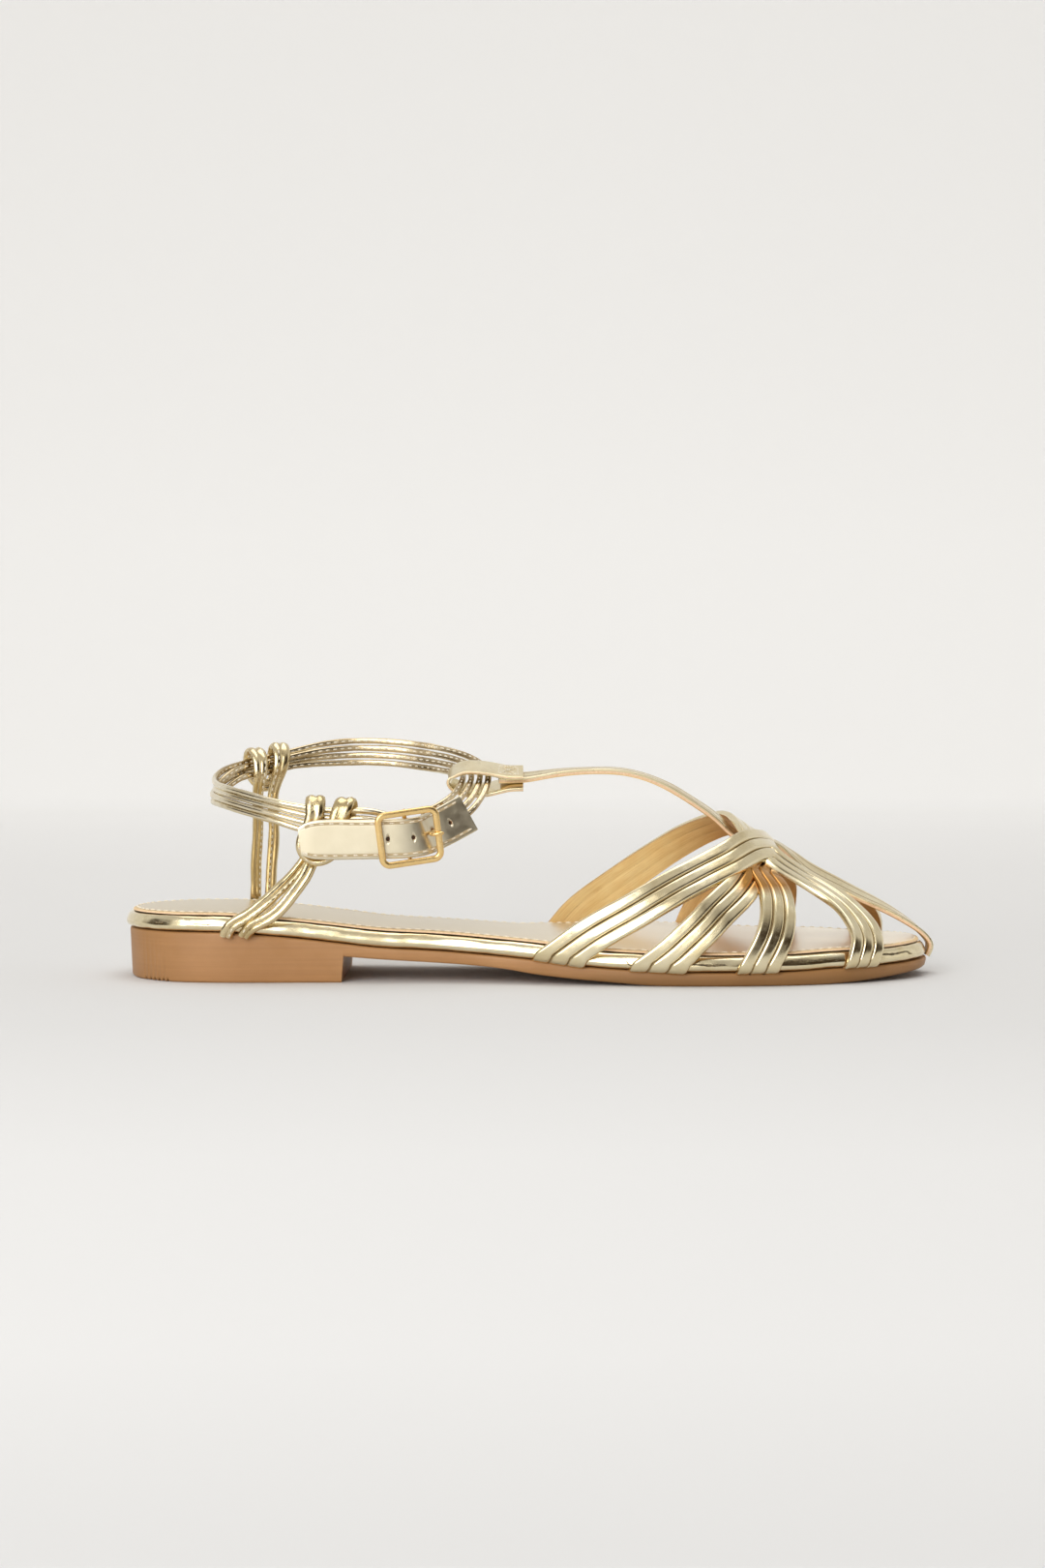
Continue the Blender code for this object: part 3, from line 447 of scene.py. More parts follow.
def object_axes(tree):
    return grow(tree, "ShaderNodeSeparateXYZ", i0=object_place(tree)).outputs


def stretched(tree, place, scale):
    return grow(tree, "ShaderNodeMapping", i0=place, i3=scale).outputs["Vector"]


def run_place(tree, along, around):
    """The 'run' map with its two directions stretched: streaks follow the leather."""
    run = grow(tree, "ShaderNodeUVMap", {"uv_map": "run"}).outputs["UV"]
    return stretched(tree, run, (along, around, 1.0))


def plug(tree, shader, **sockets):
    """Join the ends of a recipe to the sockets of the shader."""
    for key, value in sockets.items():
        tree.links.new(value, shader.inputs[key.replace("_", " ")])


print("a recipe can be read by place or along the run")

# %% [markdown]
# ### Gold foil leather
# The straps are thin leather with a pale gold foil pressed on. The foil is a metal,
# so its colour is in what it reflects, but it is never a mirror: the grain of the
# leather breaks up the highlights. Three bumps are stacked: soft dents, grain, and
# fine crackle that shows only where the foil has been bent.

# %% The foil finish
FOIL_PALE = (0.86, 0.77, 0.54, 1.0)
FOIL_DEEP = (0.74, 0.62, 0.37, 1.0)
# Colour of the painted reflection of the lining and painted shade under the crossing.
FOIL_PAINTED_GLOW = (0.50, 0.23, 0.04, 1.0)


def foil_finish(name, crackle, smoothest, grain_strength=0.05, pale=FOIL_PALE, deep=FOIL_DEEP,
                painted_glow=0.0, dented=0.16):
    """Foil leather, with as much painted warm reflection of the lining, dark as painted shade,
    under the crossing as asked.
    """
    made, tree, shader = blank_finish(name, Metallic=1.0, Coat_Weight=0.25, Coat_Roughness=0.12)
    place = object_place(tree)
    tone = ranged(tree, noise_of(tree, place, 90, 4), 0.35, 0.68)
    colour = blended(tree, tone, pale, deep)
    # Painted glow: the lining's warm reflection, dark as painted shade, under the crossing.
    if painted_glow:
        x, y, z = object_axes(tree)
        glow_mask = ranged(tree, z, 26.5 * MM, 29.5 * MM, 0.0, painted_glow)
        for limit in (ranged(tree, x, 60 * MM, 64 * MM),
                      ranged(tree, y, -16 * MM, -10 * MM, 1.0, 0.0)):
            glow_mask = calculate(tree, "MULTIPLY", glow_mask, limit)
        colour = blended(tree, glow_mask, colour, FOIL_PAINTED_GLOW)
    cracks = grow(tree, "ShaderNodeTexVoronoi", {"feature": "DISTANCE_TO_EDGE"},
                  Vector=place, Scale=1500.0).outputs["Distance"]
    bent = ranged(tree, noise_of(tree, place, 140, 2), 0.52, 0.66)
    grain = noise_of(tree, place, 2600, 3)
    dents = noise_of(tree, place, 300, 2)
    rough = ranged(tree, noise_of(tree, place, 420, 4), 0.3, 0.75, smoothest, smoothest + 0.14)
    crackle_height = calculate(tree, "MULTIPLY", ranged(tree, cracks, 0.0, 0.12), bent)
    normal = bumped(tree, dents, dented, 0.10)
    normal = bumped(tree, grain, grain_strength, 0.02, normal)
    normal = bumped(tree, crackle_height, crackle, 0.03, normal)
    plug(tree, shader, Base_Color=colour, Roughness=rough, Normal=normal)
    return made


print("foil tones from", FOIL_PALE[:3], "to", FOIL_DEEP[:3])

# %% [markdown]
# ### The foils of this sandal
# One foil would make every strap the same. The cords are more dented, paler outside as
# painted light and darker inside as painted shade; the risers are darker, as a painted
# reflection of the dark room; the buckle strap is smoother; and the two middle bands take
# a painted warm reflection of the lining and painted shade where they lie under the
# crossing. So the same recipe is used seven times with other numbers.

# %% Foils
# The plain one for the bands and the footbed, and the softer one of the T-strap.
gold_foil = foil_finish("gold_foil", crackle=0.2, smoothest=0.13)
soft_foil = foil_finish("gold_foil_soft", crackle=0.08, smoothest=0.24)
# The outer and the inner face of the ankle cords: a paler copy of the foil as painted
# light outside, a darker copy as painted shade inside; and the risers.
cord_foil = foil_finish("gold_foil_cord", crackle=0.7, smoothest=0.1, grain_strength=0.12,
                        pale=(0.90, 0.83, 0.66, 1.0), deep=(0.68, 0.57, 0.36, 1.0), dented=0.55)
cord_inner_shaded_foil = foil_finish("gold_foil_cord_inner_shaded", crackle=0.7, smoothest=0.12,
                              grain_strength=0.12, pale=(0.68, 0.56, 0.36, 1.0),
                              deep=(0.44, 0.33, 0.18, 1.0), dented=0.4)
# The risers' darker foil is a painted reflection of the dark room.
riser_foil = foil_finish("gold_foil_riser", crackle=0.7, smoothest=0.12, grain_strength=0.12,
                         pale=(0.80, 0.67, 0.42, 1.0), deep=(0.60, 0.47, 0.24, 1.0), dented=0.4)
# The buckle strap, and the two middle bands with their painted reflection and shade under the
# crossing.
satin_foil = foil_finish("gold_foil_satin", crackle=0.06, smoothest=0.32,
                         pale=(0.72, 0.65, 0.49, 1.0), deep=(0.66, 0.59, 0.43, 1.0))
painted_glow_foil = foil_finish("gold_foil_painted_glow", crackle=0.2, smoothest=0.13, painted_glow=0.95)
print("foils:", ", ".join(m.name for m in bpy.data.materials if m.name.startswith("gold_foil")))

# %% [markdown]
# ### Lining
# The inside of a strap is golden tan lining, with faint grooves along its length.
# Under the crossing little light gets in, so the lining is painted a darker brown there:
# painted shade. A plain colour would look like paint; the streaks are noise stretched
# along the strap.

# %% Lining
def lining_finish():
    made, tree, shader = blank_finish("lining", Metallic=0.25, Coat_Weight=0.0)
    streak = noise_of(tree, run_place(tree, 1.2, 26.0), 1.0, 4)
    mottle = noise_of(tree, object_place(tree), 160, 3)
    colour = blended(tree, ranged(tree, mottle, 0.3, 0.7),
                     (1.0, 0.79, 0.40, 1.0), (0.95, 0.70, 0.32, 1.0))
    colour = blended(tree, ranged(tree, streak, 0.35, 0.75, 0.0, 0.5), colour,
                     (0.70, 0.40, 0.13, 1.0))
    # Painted shade: darker brown towards the crossing, where little light gets in.
    x = object_axes(tree)["X"]
    colour = blended(tree, ranged(tree, x, 40 * MM, 62 * MM, 0.0, 0.85), colour,
                     (0.42, 0.19, 0.045, 1.0))
    normal = bumped(tree, streak, 0.35, 0.08)
    normal = bumped(tree, noise_of(tree, object_place(tree), 2200, 2), 0.15, 0.02, normal)
    plug(tree, shader, Base_Color=colour, Normal=normal,
         Roughness=ranged(tree, streak, 0.3, 0.7, 0.38, 0.55))
    return made


lining = lining_finish()
print("made", lining.name)

# %% [markdown]
# ### Raw edges, shades and thread
# Where the knife has cut, the edge is leather fibre: matt, with a fine rough grain.
# The same recipe, darker, is painted shade: deep in a groove, in a crease, under a row of
# stitches and in a crumple, where the foil only sees itself. Thread is waxed and a little
# shiny, with a twist along it.

# %% Edges and thread
def edge_finish(name, pale, deep):
    made, tree, shader = blank_finish(name, Metallic=0.0)
    fibre = noise_of(tree, object_place(tree), 1800, 4)
    colour = blended(tree, ranged(tree, fibre, 0.3, 0.7), pale, deep)
    plug(tree, shader, Base_Color=colour, Roughness=ranged(tree, fibre, 0.3, 0.7, 0.6, 0.85),
         Normal=bumped(tree, fibre, 0.5, 0.05))
    return made


def thread_finish(name, pale, deep):
    made, tree, shader = blank_finish(name, Metallic=0.0, Sheen_Weight=0.3)
    twist = grow(tree, "ShaderNodeTexWave", {"bands_direction": "DIAGONAL"},
                 Vector=object_place(tree), Scale=900.0, Distortion=1.5).outputs["Fac"]
    plug(tree, shader, Base_Color=blended(tree, twist, pale, deep),
         Roughness=ranged(tree, twist, 0.0, 1.0, 0.35, 0.6),
         Normal=bumped(tree, twist, 0.4, 0.04))
    return made


cut_edge = edge_finish("cut_edge", (0.62, 0.36, 0.18, 1.0), (0.40, 0.20, 0.08, 1.0))
peach_edge = edge_finish("cut_edge_peach", (0.95, 0.70, 0.48, 1.0), (0.80, 0.52, 0.30, 1.0))
# Painted shade for grooves and creases, rows of stitches and crumples.
seam_shade = edge_finish("seam_shade", (0.42, 0.31, 0.16, 1.0), (0.32, 0.22, 0.10, 1.0))
soft_shade = edge_finish("soft_shade", (0.54, 0.42, 0.25, 1.0), (0.44, 0.33, 0.18, 1.0))
crumple_shade = edge_finish("crumple_shade", (0.26, 0.19, 0.09, 1.0), (0.02, 0.014, 0.006, 1.0))
sock_border = edge_finish("sock_border", (0.80, 0.60, 0.34, 1.0), (0.70, 0.50, 0.26, 1.0))
pale_thread = thread_finish("pale_thread", (0.94, 0.89, 0.78, 1.0), (0.70, 0.60, 0.42, 1.0))
sock_thread = thread_finish("sock_thread", (0.97, 0.89, 0.74, 1.0), (0.80, 0.68, 0.48, 1.0))
print("edges and thread:", cut_edge.name, peach_edge.name, pale_thread.name)

# %% [markdown]
# ### Sock satin and the dark of a hole
# The sock is a satin lining with a pearl finish: half metal, half cloth, with a fine
# grain that runs along the foot, and painted darker towards the heel as painted shade
# for how the light falls along the foot. A punched hole shows only unlit fibre, so it
# needs a finish of its own, almost black: painted shade.

# %% Satin and dark
def sock_finish():
    made, tree, shader = blank_finish("sock_satin", Metallic=0.72, Coat_Weight=0.35,
                                      Coat_Roughness=0.3)
    place = object_place(tree)
    mottle = noise_of(tree, place, 45, 5)
    weave = noise_of(tree, stretched(tree, place, (160.0, 1600.0, 400.0)), 1.0, 2)
    colour = blended(tree, ranged(tree, mottle, 0.35, 0.7),
                     (0.99, 0.90, 0.73, 1.0), (0.96, 0.86, 0.67, 1.0))
    colour = blended(tree, ranged(tree, weave, 0.3, 0.8, 0.0, 0.06), colour,
                     (0.66, 0.54, 0.39, 1.0))
    # Painted shade: darker towards the heel, for how the light falls along the foot.
    x = object_axes(tree)["X"]
    colour = blended(tree, ranged(tree, x, -40 * MM, 85 * MM, 0.95, 0.0), colour,
                     (0.60, 0.50, 0.32, 1.0))
    normal = bumped(tree, weave, 0.07, 0.03)
    normal = bumped(tree, noise_of(tree, place, 60, 2), 0.12, 0.15, normal)
    plug(tree, shader, Base_Color=colour, Normal=normal,
         Roughness=ranged(tree, weave, 0.3, 0.7, 0.28, 0.33))
    return made


def shadow_finish():
    """Painted shade: leather fibre deep in a punched hole, almost black."""
    made, tree, shader = blank_finish("hole_dark", Metallic=0.0)
    fibre = noise_of(tree, object_place(tree), 2500, 3)
    colour = blended(tree, fibre, (0.03, 0.014, 0.006, 1.0), (0.09, 0.045, 0.02, 1.0))
    plug(tree, shader, Base_Color=colour, Roughness=ranged(tree, fibre, 0.3, 0.7, 0.7, 0.95))
    return made


hole_dark = shadow_finish()
sock_satin = sock_finish()
print("made", sock_satin.name, hole_dark.name)

# %% [markdown]
# ### Rubber
# The outsole is tan moulded rubber: a little uneven in colour, with faint level
# marks from the mould and the brush. Low on the forefoot, near the floor, it is painted
# darker as painted shade, and it is darker at the back of the heel too. Each shade is a
# blend over the last one, as washes of paint are.

# %% Rubber
def rubber_finish():
    made, tree, shader = blank_finish("tan_rubber", Metallic=0.0)
    place = object_place(tree)
    streak = noise_of(tree, stretched(tree, place, (18.0, 18.0, 1100.0)), 1.0, 4)
    cloud = noise_of(tree, place, 60, 4)
    colour = blended(tree, ranged(tree, cloud, 0.3, 0.7),
                     (0.48, 0.245, 0.095, 1.0), (0.41, 0.20, 0.068, 1.0))
    colour = blended(tree, ranged(tree, streak, 0.35, 0.8, 0.0, 0.45), colour,
                     (0.34, 0.16, 0.06, 1.0))
    x, _, z = object_axes(tree)
    # Painted shade: darker low on the forefoot, near the floor.
    low = ranged(tree, z, 1.5 * MM, 6.0 * MM, 1.0, 0.0)
    forefoot = ranged(tree, x, -10 * MM, 25 * MM, 0.0, 0.85)
    colour = blended(tree, calculate(tree, "MULTIPLY", low, forefoot), colour,
                     (0.22, 0.105, 0.028, 1.0))
    # Darker towards the back end of the heel.
    colour = blended(tree, ranged(tree, x, -122 * MM, -100 * MM, 0.45, 0.0), colour,
                     (0.24, 0.115, 0.032, 1.0))
    normal = bumped(tree, streak, 0.25, 0.12)
    normal = bumped(tree, noise_of(tree, place, 1600, 2), 0.12, 0.03, normal)
    plug(tree, shader, Base_Color=colour, Normal=normal,
         Roughness=ranged(tree, cloud, 0.3, 0.7, 0.42, 0.6))
    return made


tan_rubber = rubber_finish()
print("made", tan_rubber.name)

# %% [markdown]
# ### Plated metal
# The buckle is smooth and plated a warmer gold than the foil. Polished metal has no
# colour of its own but its reflections, so the recipe only tints and slightly blurs.

# %% Buckle metal
def brass_finish():
    made, tree, shader = blank_finish("buckle_gold", Metallic=1.0, Coat_Weight=0.1)
    place = object_place(tree)
    brushed = noise_of(tree, place, 1200, 3)
    colour = blended(tree, ranged(tree, noise_of(tree, place, 300, 2), 0.3, 0.7),
                     (0.95, 0.69, 0.31, 1.0), (0.90, 0.61, 0.25, 1.0))
    plug(tree, shader, Base_Color=colour, Normal=bumped(tree, brushed, 0.02, 0.02),
         Roughness=ranged(tree, brushed, 0.3, 0.7, 0.22, 0.28))
    return made


buckle_gold = brass_finish()
print("made", buckle_gold.name)

# %% [markdown]
# ### Paper
# The paper is almost white, and lit more towards the back. More lamps could light it
# so, but they would show in the foil. So that light is painted: a ramp of tones along
# the sheet, a little darker round the sandal as painted shade, with a faint painted glow
# far behind, keeps the lamps for the sandal.

# %% Paper tones
# Painted brightness of the paper from front to back: y, its painted tone, its painted glow.
PAPER_TONES = [
    (-700.0, 0.62, 0.0), (-556.0, 0.63, 0.0), (-478.0, 0.70, 0.0), (-334.0, 0.72, 0.0),
    (-131.0, 0.68, 0.0), (19.0, 0.69, 0.0), (495.0, 0.79, 0.0), (1500.0, 0.88, 0.17),
    (2400.0, 0.90, 0.22),
]


def toned(tree, far, tones, index):
    """Colour that goes through the tones of one column of the table."""
    ramp = grow(tree, "ShaderNodeValToRGB", Fac=far)
    front, back = tones[0][0], tones[-1][0]
    stops = ramp.color_ramp.elements
    for row in tones[1:-1]:
        stops.new((row[0] - front) / (back - front))
    for stop, row in zip(stops, tones):
        tone = row[index]
        stop.color = (tone, tone * 0.998, tone * 0.992, 1.0)
    return ramp.outputs["Color"]


def paper_finish():
    made, tree, shader = blank_finish("paper", Metallic=0.0,
                                      Emission_Color=(1.0, 0.995, 0.98, 1.0))
    y = object_axes(tree)["Y"]
    far = ranged(tree, y, PAPER_TONES[0][0] * MM, PAPER_TONES[-1][0] * MM)
    fibre = noise_of(tree, object_place(tree), 3.0, 2)
    plug(tree, shader, Base_Color=toned(tree, far, PAPER_TONES, 1),
         Emission_Strength=toned(tree, far, PAPER_TONES, 2),
         Roughness=ranged(tree, fibre, 0.0, 1.0, 0.9, 1.0))
    return made


paper_sweep(paper_finish())
print("tones on the paper:", len(PAPER_TONES))

# %% [markdown]
# ## Light
# Foil shows the room more than it shows itself. In a studio there are wide soft boxes
# in front and above, paper all round, and unlit corners beside the camera: the straps
# are white where they see a box, khaki where they see the paper, and dark brown where
# they see a corner. A lamp could be a bright card too; area lights give less noise.

# %% Soft boxes
LAMPS = [
    # name, place, aimed at, width, height, watts
    ("main_box", (-560, -1275, 600), (0, 0, 40), 1030, 980, 11.8),
    ("top_box", (100, 100, 1700), (0, 0, 30), 1600, 1100, 9.8),
]


def lamp(name, place, aim, width, height, watts):
    data = bpy.data.lights.new(name, "AREA")
    data.shape = "RECTANGLE"
    data.size, data.size_y = width * MM, height * MM
    data.energy = watts
    made = bpy.data.objects.new(name, data)
    made.location = [v * MM for v in place]
    towards = Vector(aim) - Vector(place)
    made.rotation_euler = towards.to_track_quat("-Z", "Y").to_euler()
    bpy.context.scene.collection.objects.link(made)


for row in LAMPS:
    lamp(*row)
print("lamps:", len(LAMPS))

# %% [markdown]
# ### The room round the set
# The rest of the room could be a panorama of a real one. Here it is a few colours in
# the world's nodes, chosen by the direction a ray goes in: pale in front and behind,
# greyer above, and two unlit corners that give the foil its dark lines.

# %% Room
ROOM_DARK = (0.045, 0.030, 0.016, 1.0)
ROOM_FRONT = (0.98, 0.96, 0.92, 1.0)
ROOM_BACK = (0.80, 0.795, 0.785, 1.0)
ROOM_CEILING = (0.62, 0.60, 0.57, 1.0)
# Unlit corners of the room: middle and half width in degrees to the right of the
# camera, and the height (sine of the elevation) where each one ends.
DARK_CORNERS = [(42, 32, 0.64), (-80, 18, 0.5)]
CORNER_BLUR = 7                        # degrees
TOP_BLUR = 0.12

world = bpy.data.worlds.new("studio")
bpy.context.scene.world = world
world.use_nodes = True
room = world.node_tree
backdrop = room.nodes["Background"]
direction = grow(room, "ShaderNodeTexCoord").outputs["Generated"]
east, north, height = grow(room, "ShaderNodeSeparateXYZ", i0=direction).outputs

turned = calculate(room, "ARCTAN2", east, calculate(room, "MULTIPLY", north, -1.0))
lit = blended(room, ranged(room, north, -0.3, 0.3), ROOM_FRONT, ROOM_BACK)
lit = blended(room, ranged(room, height, 0.45, 0.66), lit, ROOM_CEILING)
for middle, half, top in DARK_CORNERS:
    off = calculate(room, "ABSOLUTE", calculate(room, "SUBTRACT", turned, math.radians(middle)))
    aside = ranged(room, off, math.radians(half - CORNER_BLUR), math.radians(half + CORNER_BLUR),
                   1.0, 0.0)
    below = ranged(room, height, top - TOP_BLUR, top + TOP_BLUR, 1.0, 0.0)
    lit = blended(room, calculate(room, "MULTIPLY", aside, below), lit, ROOM_DARK)
seen = grow(room, "ShaderNodeLightPath").outputs["Is Camera Ray"]
room.links.new(blended(room, seen, lit, ROOM_BACK), backdrop.inputs["Color"])
bpy.context.scene.view_settings.view_transform = "Standard"
print("unlit corners of the room:", len(DARK_CORNERS))

# %% [markdown]
# ## The plan of the sole
# Footbed, sock and outsole share one plan outline. It is a table of the lateral and
# medial edge at places along the foot. A curve object could hold the outline too, but
# the table also places everything that sits on the edge: straps, rim and stitches.

# %% Sole tables
HEEL_END = -125.5
TOE_END = 123.2

# Plan of the footbed: x, lateral edge, medial edge.
OUTLINE = [
    (HEEL_END, 0.0, 0.0), (-118.0, -19.5, 19.5), (-105.0, -28.0, 28.0), (-88.0, -30.0, 29.5),
    (-60.0, -29.0, 27.0), (-30.0, -28.5, 24.0), (0.0, -33.0, 27.0), (30.0, -38.5, 35.0),
    (52.0, -40.0, 39.5), (72.0, -38.5, 40.5), (92.0, -33.0, 37.0), (106.0, -26.0, 30.5),
    (116.0, -17.5, 22.5), (TOE_END - 2.2, -10.0, 15.0), (TOE_END, 3.0, 3.0),
]

# Side view of the footbed's underside: x, height.
FOOTBED_BOTTOM = [
    (-125.0, 15.6), (-95.0, 15.6), (-81.0, 14.7), (-72.0, 13.9), (-61.0, 12.7),
    (-44.0, 10.8), (-29.0, 10.0), (-14.0, 8.9), (1.0, 7.6), (16.0, 5.8),
    (30.0, 5.0), (50.0, 4.3), (75.0, 4.4), (92.0, 5.1), (110.0, 5.4), (125.0, 6.2),
]

# How much higher the medial edge of the sole stands than the lateral one: x, rise.
BANK = [
    (-125.0, 0.0), (-6.0, 0.0), (8.0, 1.4), (18.0, 2.5), (40.0, 3.2), (52.0, 2.8),
    (65.0, 2.0), (90.0, 0.9), (110.0, 0.2), (123.0, 0.0),
]

# Side view of the outsole's underside in front of the heel: x, height.
ARCH_BOTTOM = [
    (-57.0, 7.9), (-44.0, 6.9), (-29.0, 6.0), (-14.0, 5.0), (-6.0, 4.1), (0.0, 3.1),
    (10.0, 2.0), (25.0, 0.9), (40.0, 0.0), (86.0, 0.0), (97.0, 0.4), (107.0, 1.1),
    (116.0, 2.0), (124.0, 3.2),
]
print("rows of the outline:", len(OUTLINE))

# %% [markdown]
# ### Reading the outline
# Near its ends an outline turns back on itself, where one y for each x says little.
# Read by an angle that turns evenly from heel to toe, both ends come out round.

# %% Edges of the sole
SPAN_MIDDLE = (HEEL_END + TOE_END) / 2
SPAN_HALF = (TOE_END - HEEL_END) / 2


def turn_of(x):
    """Angle 0 at the heel end and pi at the toe end, so that both ends are round."""
    return math.acos(min(max((SPAN_MIDDLE - x) / SPAN_HALF, -1.0), 1.0))


OUTLINE_BY_TURN = [(turn_of(x), lateral, medial) for x, lateral, medial in OUTLINE]


def edge(x, side):
    """Y of the footbed's edge at x: side 1 lateral, 2 medial."""
    return profile(OUTLINE_BY_TURN, turn_of(x), value=side)


def footbed_bottom(x):
    return profile(FOOTBED_BOTTOM, x)


def rise_at(x, y):
    """How far the bank of the sole raises a place."""
    lateral, medial = edge(x, 1), edge(x, 2)
    if medial - lateral < 1.0:
        return 0.0
    return profile(BANK, x) * min(max((y - lateral) / (medial - lateral), 0.0), 1.0)


print(f"the sole is {edge(60, 2) - edge(60, 1):.1f} mm wide at the ball of the foot")

# %% [markdown]
# ## Slabs in rings
# A sole part is a plate whose side changes from ring to ring: a rolled rim, a
# bevelled wall, a worn lower edge. Each ring is the outline moved inwards by some
# amount, at some height. Rungs close the plate above and below. Extrude and bevel
# would make the same form by hand; rings keep every edge on the same stations.

# %% Rings
def sole_stations(count, extra=(), spare=0.4):
    turns = np.linspace(0.0, math.pi, count)
    xs = [SPAN_MIDDLE - SPAN_HALF * math.cos(t) for t in turns]
    kept = [x for x in xs if all(abs(x - e) > spare for e in extra)]
    return sorted(kept + list(extra))


def outline_loop(xs):
    """Closed plan outline: heel point, lateral side, toe point, medial side back."""
    lateral = [(x, edge(x, 1)) for x in xs[1:-1]]
    medial = [(x, edge(x, 2)) for x in xs[1:-1]]
    heel, toe = (xs[0], OUTLINE[0][1]), (xs[-1], OUTLINE[-1][1])
    return np.array([heel] + lateral + [toe] + medial[::-1])


def inset_loop(loop, distance):
    along = unit(np.roll(loop, -1, axis=0) - np.roll(loop, 1, axis=0))
    inwards = np.stack([-along[:, 1], along[:, 0]], axis=1)
    if np.mean(np.sum(inwards * (loop - loop.mean(axis=0)), axis=1)) > 0:
        inwards = -inwards
    distance = np.broadcast_to(np.asarray(distance, dtype=float), (len(loop),))
    return loop + inwards * distance[:, None]


print("stations of a coarse sole:", len(sole_stations(9)))

# %% [markdown]
# ### Closing the rings to a slab
# Quads join each ring to the next one. The top and the bottom are closed by rungs from
# the lateral to the medial side, which lie better than one big face with many corners.

# %% Slab
def ladder_slab(name, xs, rings, finish, level=0):
    """Plate made of rings of one outline, closed by rungs. Ring: (inset, height of x).
    The last `level` rings lie level, the others are raised by the bank."""
    loop = outline_loop(xs)
    n = len(loop)
    last = len(xs) - 1
    points = []
    for index, (inset, height) in enumerate(rings):
        distance = [inset(x) for x in loop[:, 0]] if callable(inset) else inset
        moved = inset_loop(loop, distance)
        banked = 1.0 if index < len(rings) - level else 0.0
        points += [(x, y, height(x0) + banked * rise_at(x0, y))
                   for (x, y), x0 in zip(moved, loop[:, 0])]
    faces = tube_faces(len(rings), n)
    for r in (0, len(rings) - 1):
        base = r * n
        faces.append((base, base + 1, base + n - 1))
        for i in range(1, last - 1):
            faces.append((base + i, base + i + 1, base + n - i - 1, base + n - i))
        faces.append((base + last - 1, base + last, base + last + 1))
    return mesh_piece(name, points, faces, [finish])


print("corners in a coarse ring:", len(outline_loop(sole_stations(9))))

# %% [markdown]
# ## The outsole
# One rubber moulding: a low heel block with a straight breast, a thin arch, and a
# forefoot that lifts a little at the toe. The wall draws in towards the floor, its
# lower edge is worn round, and the rear of the heel has a few ribs across it that
# show as small notches from the side. At the toe the rubber reaches past the footbed
# as a small bumper, so the front of the finished slab is drawn forwards.

# %% Underside of the outsole
BREAST_X = -57.0                       # front wall of the heel
NOTCH_FIRST = -119.0
NOTCH_PITCH = 1.55
NOTCH_COUNT = 6
NOTCH_WIDTH = 0.7
NOTCH_DEPTH = 0.6
NOTCH_SLOPE = 0.12


def notch_depth(x):
    place = (x - NOTCH_FIRST) % NOTCH_PITCH
    inside = NOTCH_FIRST <= x < NOTCH_FIRST + NOTCH_COUNT * NOTCH_PITCH
    return NOTCH_DEPTH if inside and NOTCH_SLOPE < place < NOTCH_WIDTH else 0.0


def notch_stations():
    out = []
    for index in range(NOTCH_COUNT):
        start = NOTCH_FIRST + index * NOTCH_PITCH
        out += [start, start + NOTCH_SLOPE + 0.01, start + NOTCH_WIDTH - 0.01,
                start + NOTCH_WIDTH + NOTCH_SLOPE]
    return out


def outsole_bottom(x):
    return notch_depth(x) if x <= BREAST_X else profile(ARCH_BOTTOM, x)


print("notches under the heel:", NOTCH_COUNT)

# %% [markdown]
# ### Moulding the outsole
# Its rings start under the footbed and end on the floor. Wall and lower edge draw in
# more at the heel. The last step spreads the toe forwards, a little more with every
# millimetre, as a proportional move would.

# %% Outsole
SOLE_STATIONS = 130
BREAST_SLOPE = 0.6
TREAD_ENDS = [40.0, 86.0]              # where the forefoot's flat tread begins and ends
OUTSOLE_INSET = 1.1
HEEL_TAPER = 0.6                       # how much the wall draws in, at the heel
SOLE_TAPER = 0.2                       # and in front of it
TOE_SPREAD = 1.6                       # how far the rubber is drawn forwards at the toe
TOE_SPREAD_FROM = 100.0


def build_outsole():
    def top(down):
        return lambda x: footbed_bottom(x) - GAP - down

    def bottom(up):
        return lambda x: outsole_bottom(x) + up

    def lower_inset(more):
        return lambda x: OUTSOLE_INSET + more + (HEEL_TAPER if x <= BREAST_X else SOLE_TAPER)

    rings = [(OUTSOLE_INSET + 1.8, top(0)), (OUTSOLE_INSET + 0.5, top(0.1)),
             (OUTSOLE_INSET + 0.1, top(0.35)), (OUTSOLE_INSET, top(0.8)),
             (lower_inset(0), bottom(0.9)), (lower_inset(0.12), bottom(0.45)),
             (lower_inset(0.4), bottom(0.12)), (lower_inset(0.8), bottom(0))]
    stations = sole_stations(SOLE_STATIONS, [BREAST_X, BREAST_X + BREAST_SLOPE] + TREAD_ENDS
                             + notch_stations(), 0.25)
    return ladder_slab("outsole_rubber_unit", stations, rings, tan_rubber, level=4)


outsole = build_outsole()
for vertex in outsole.data.vertices:
    reach = max(vertex.co.x / MM - TOE_SPREAD_FROM, 0.0) / (TOE_END - TOE_SPREAD_FROM)
    vertex.co.x += TOE_SPREAD * MM * reach * reach
wear(outsole, "outsole_rubber", "outsole")

# %% [markdown]
# ## The wrapped footbed
# The insole board is wrapped in foil leather, pulled tight round a padded edge. The
# edge leans inwards above its widest line. Pulled leather dimples, so the dents are
# stretched along the edge.

# %% Footbed
FOOTBED_STATIONS = 170
# Side of the padded edge from below: how far inwards, how far up.
RIM_PROFILE = [
    (2.3, 0.0), (1.5, 0.05), (0.9, 0.22), (0.42, 0.55), (0.12, 1.0), (0.0, 1.5), (0.05, 1.95),
    (0.2, 2.45), (0.4, 2.95), (0.63, 3.45), (0.88, 3.87), (1.2, 4.2), (1.65, 4.45), (2.3, 4.6),
]


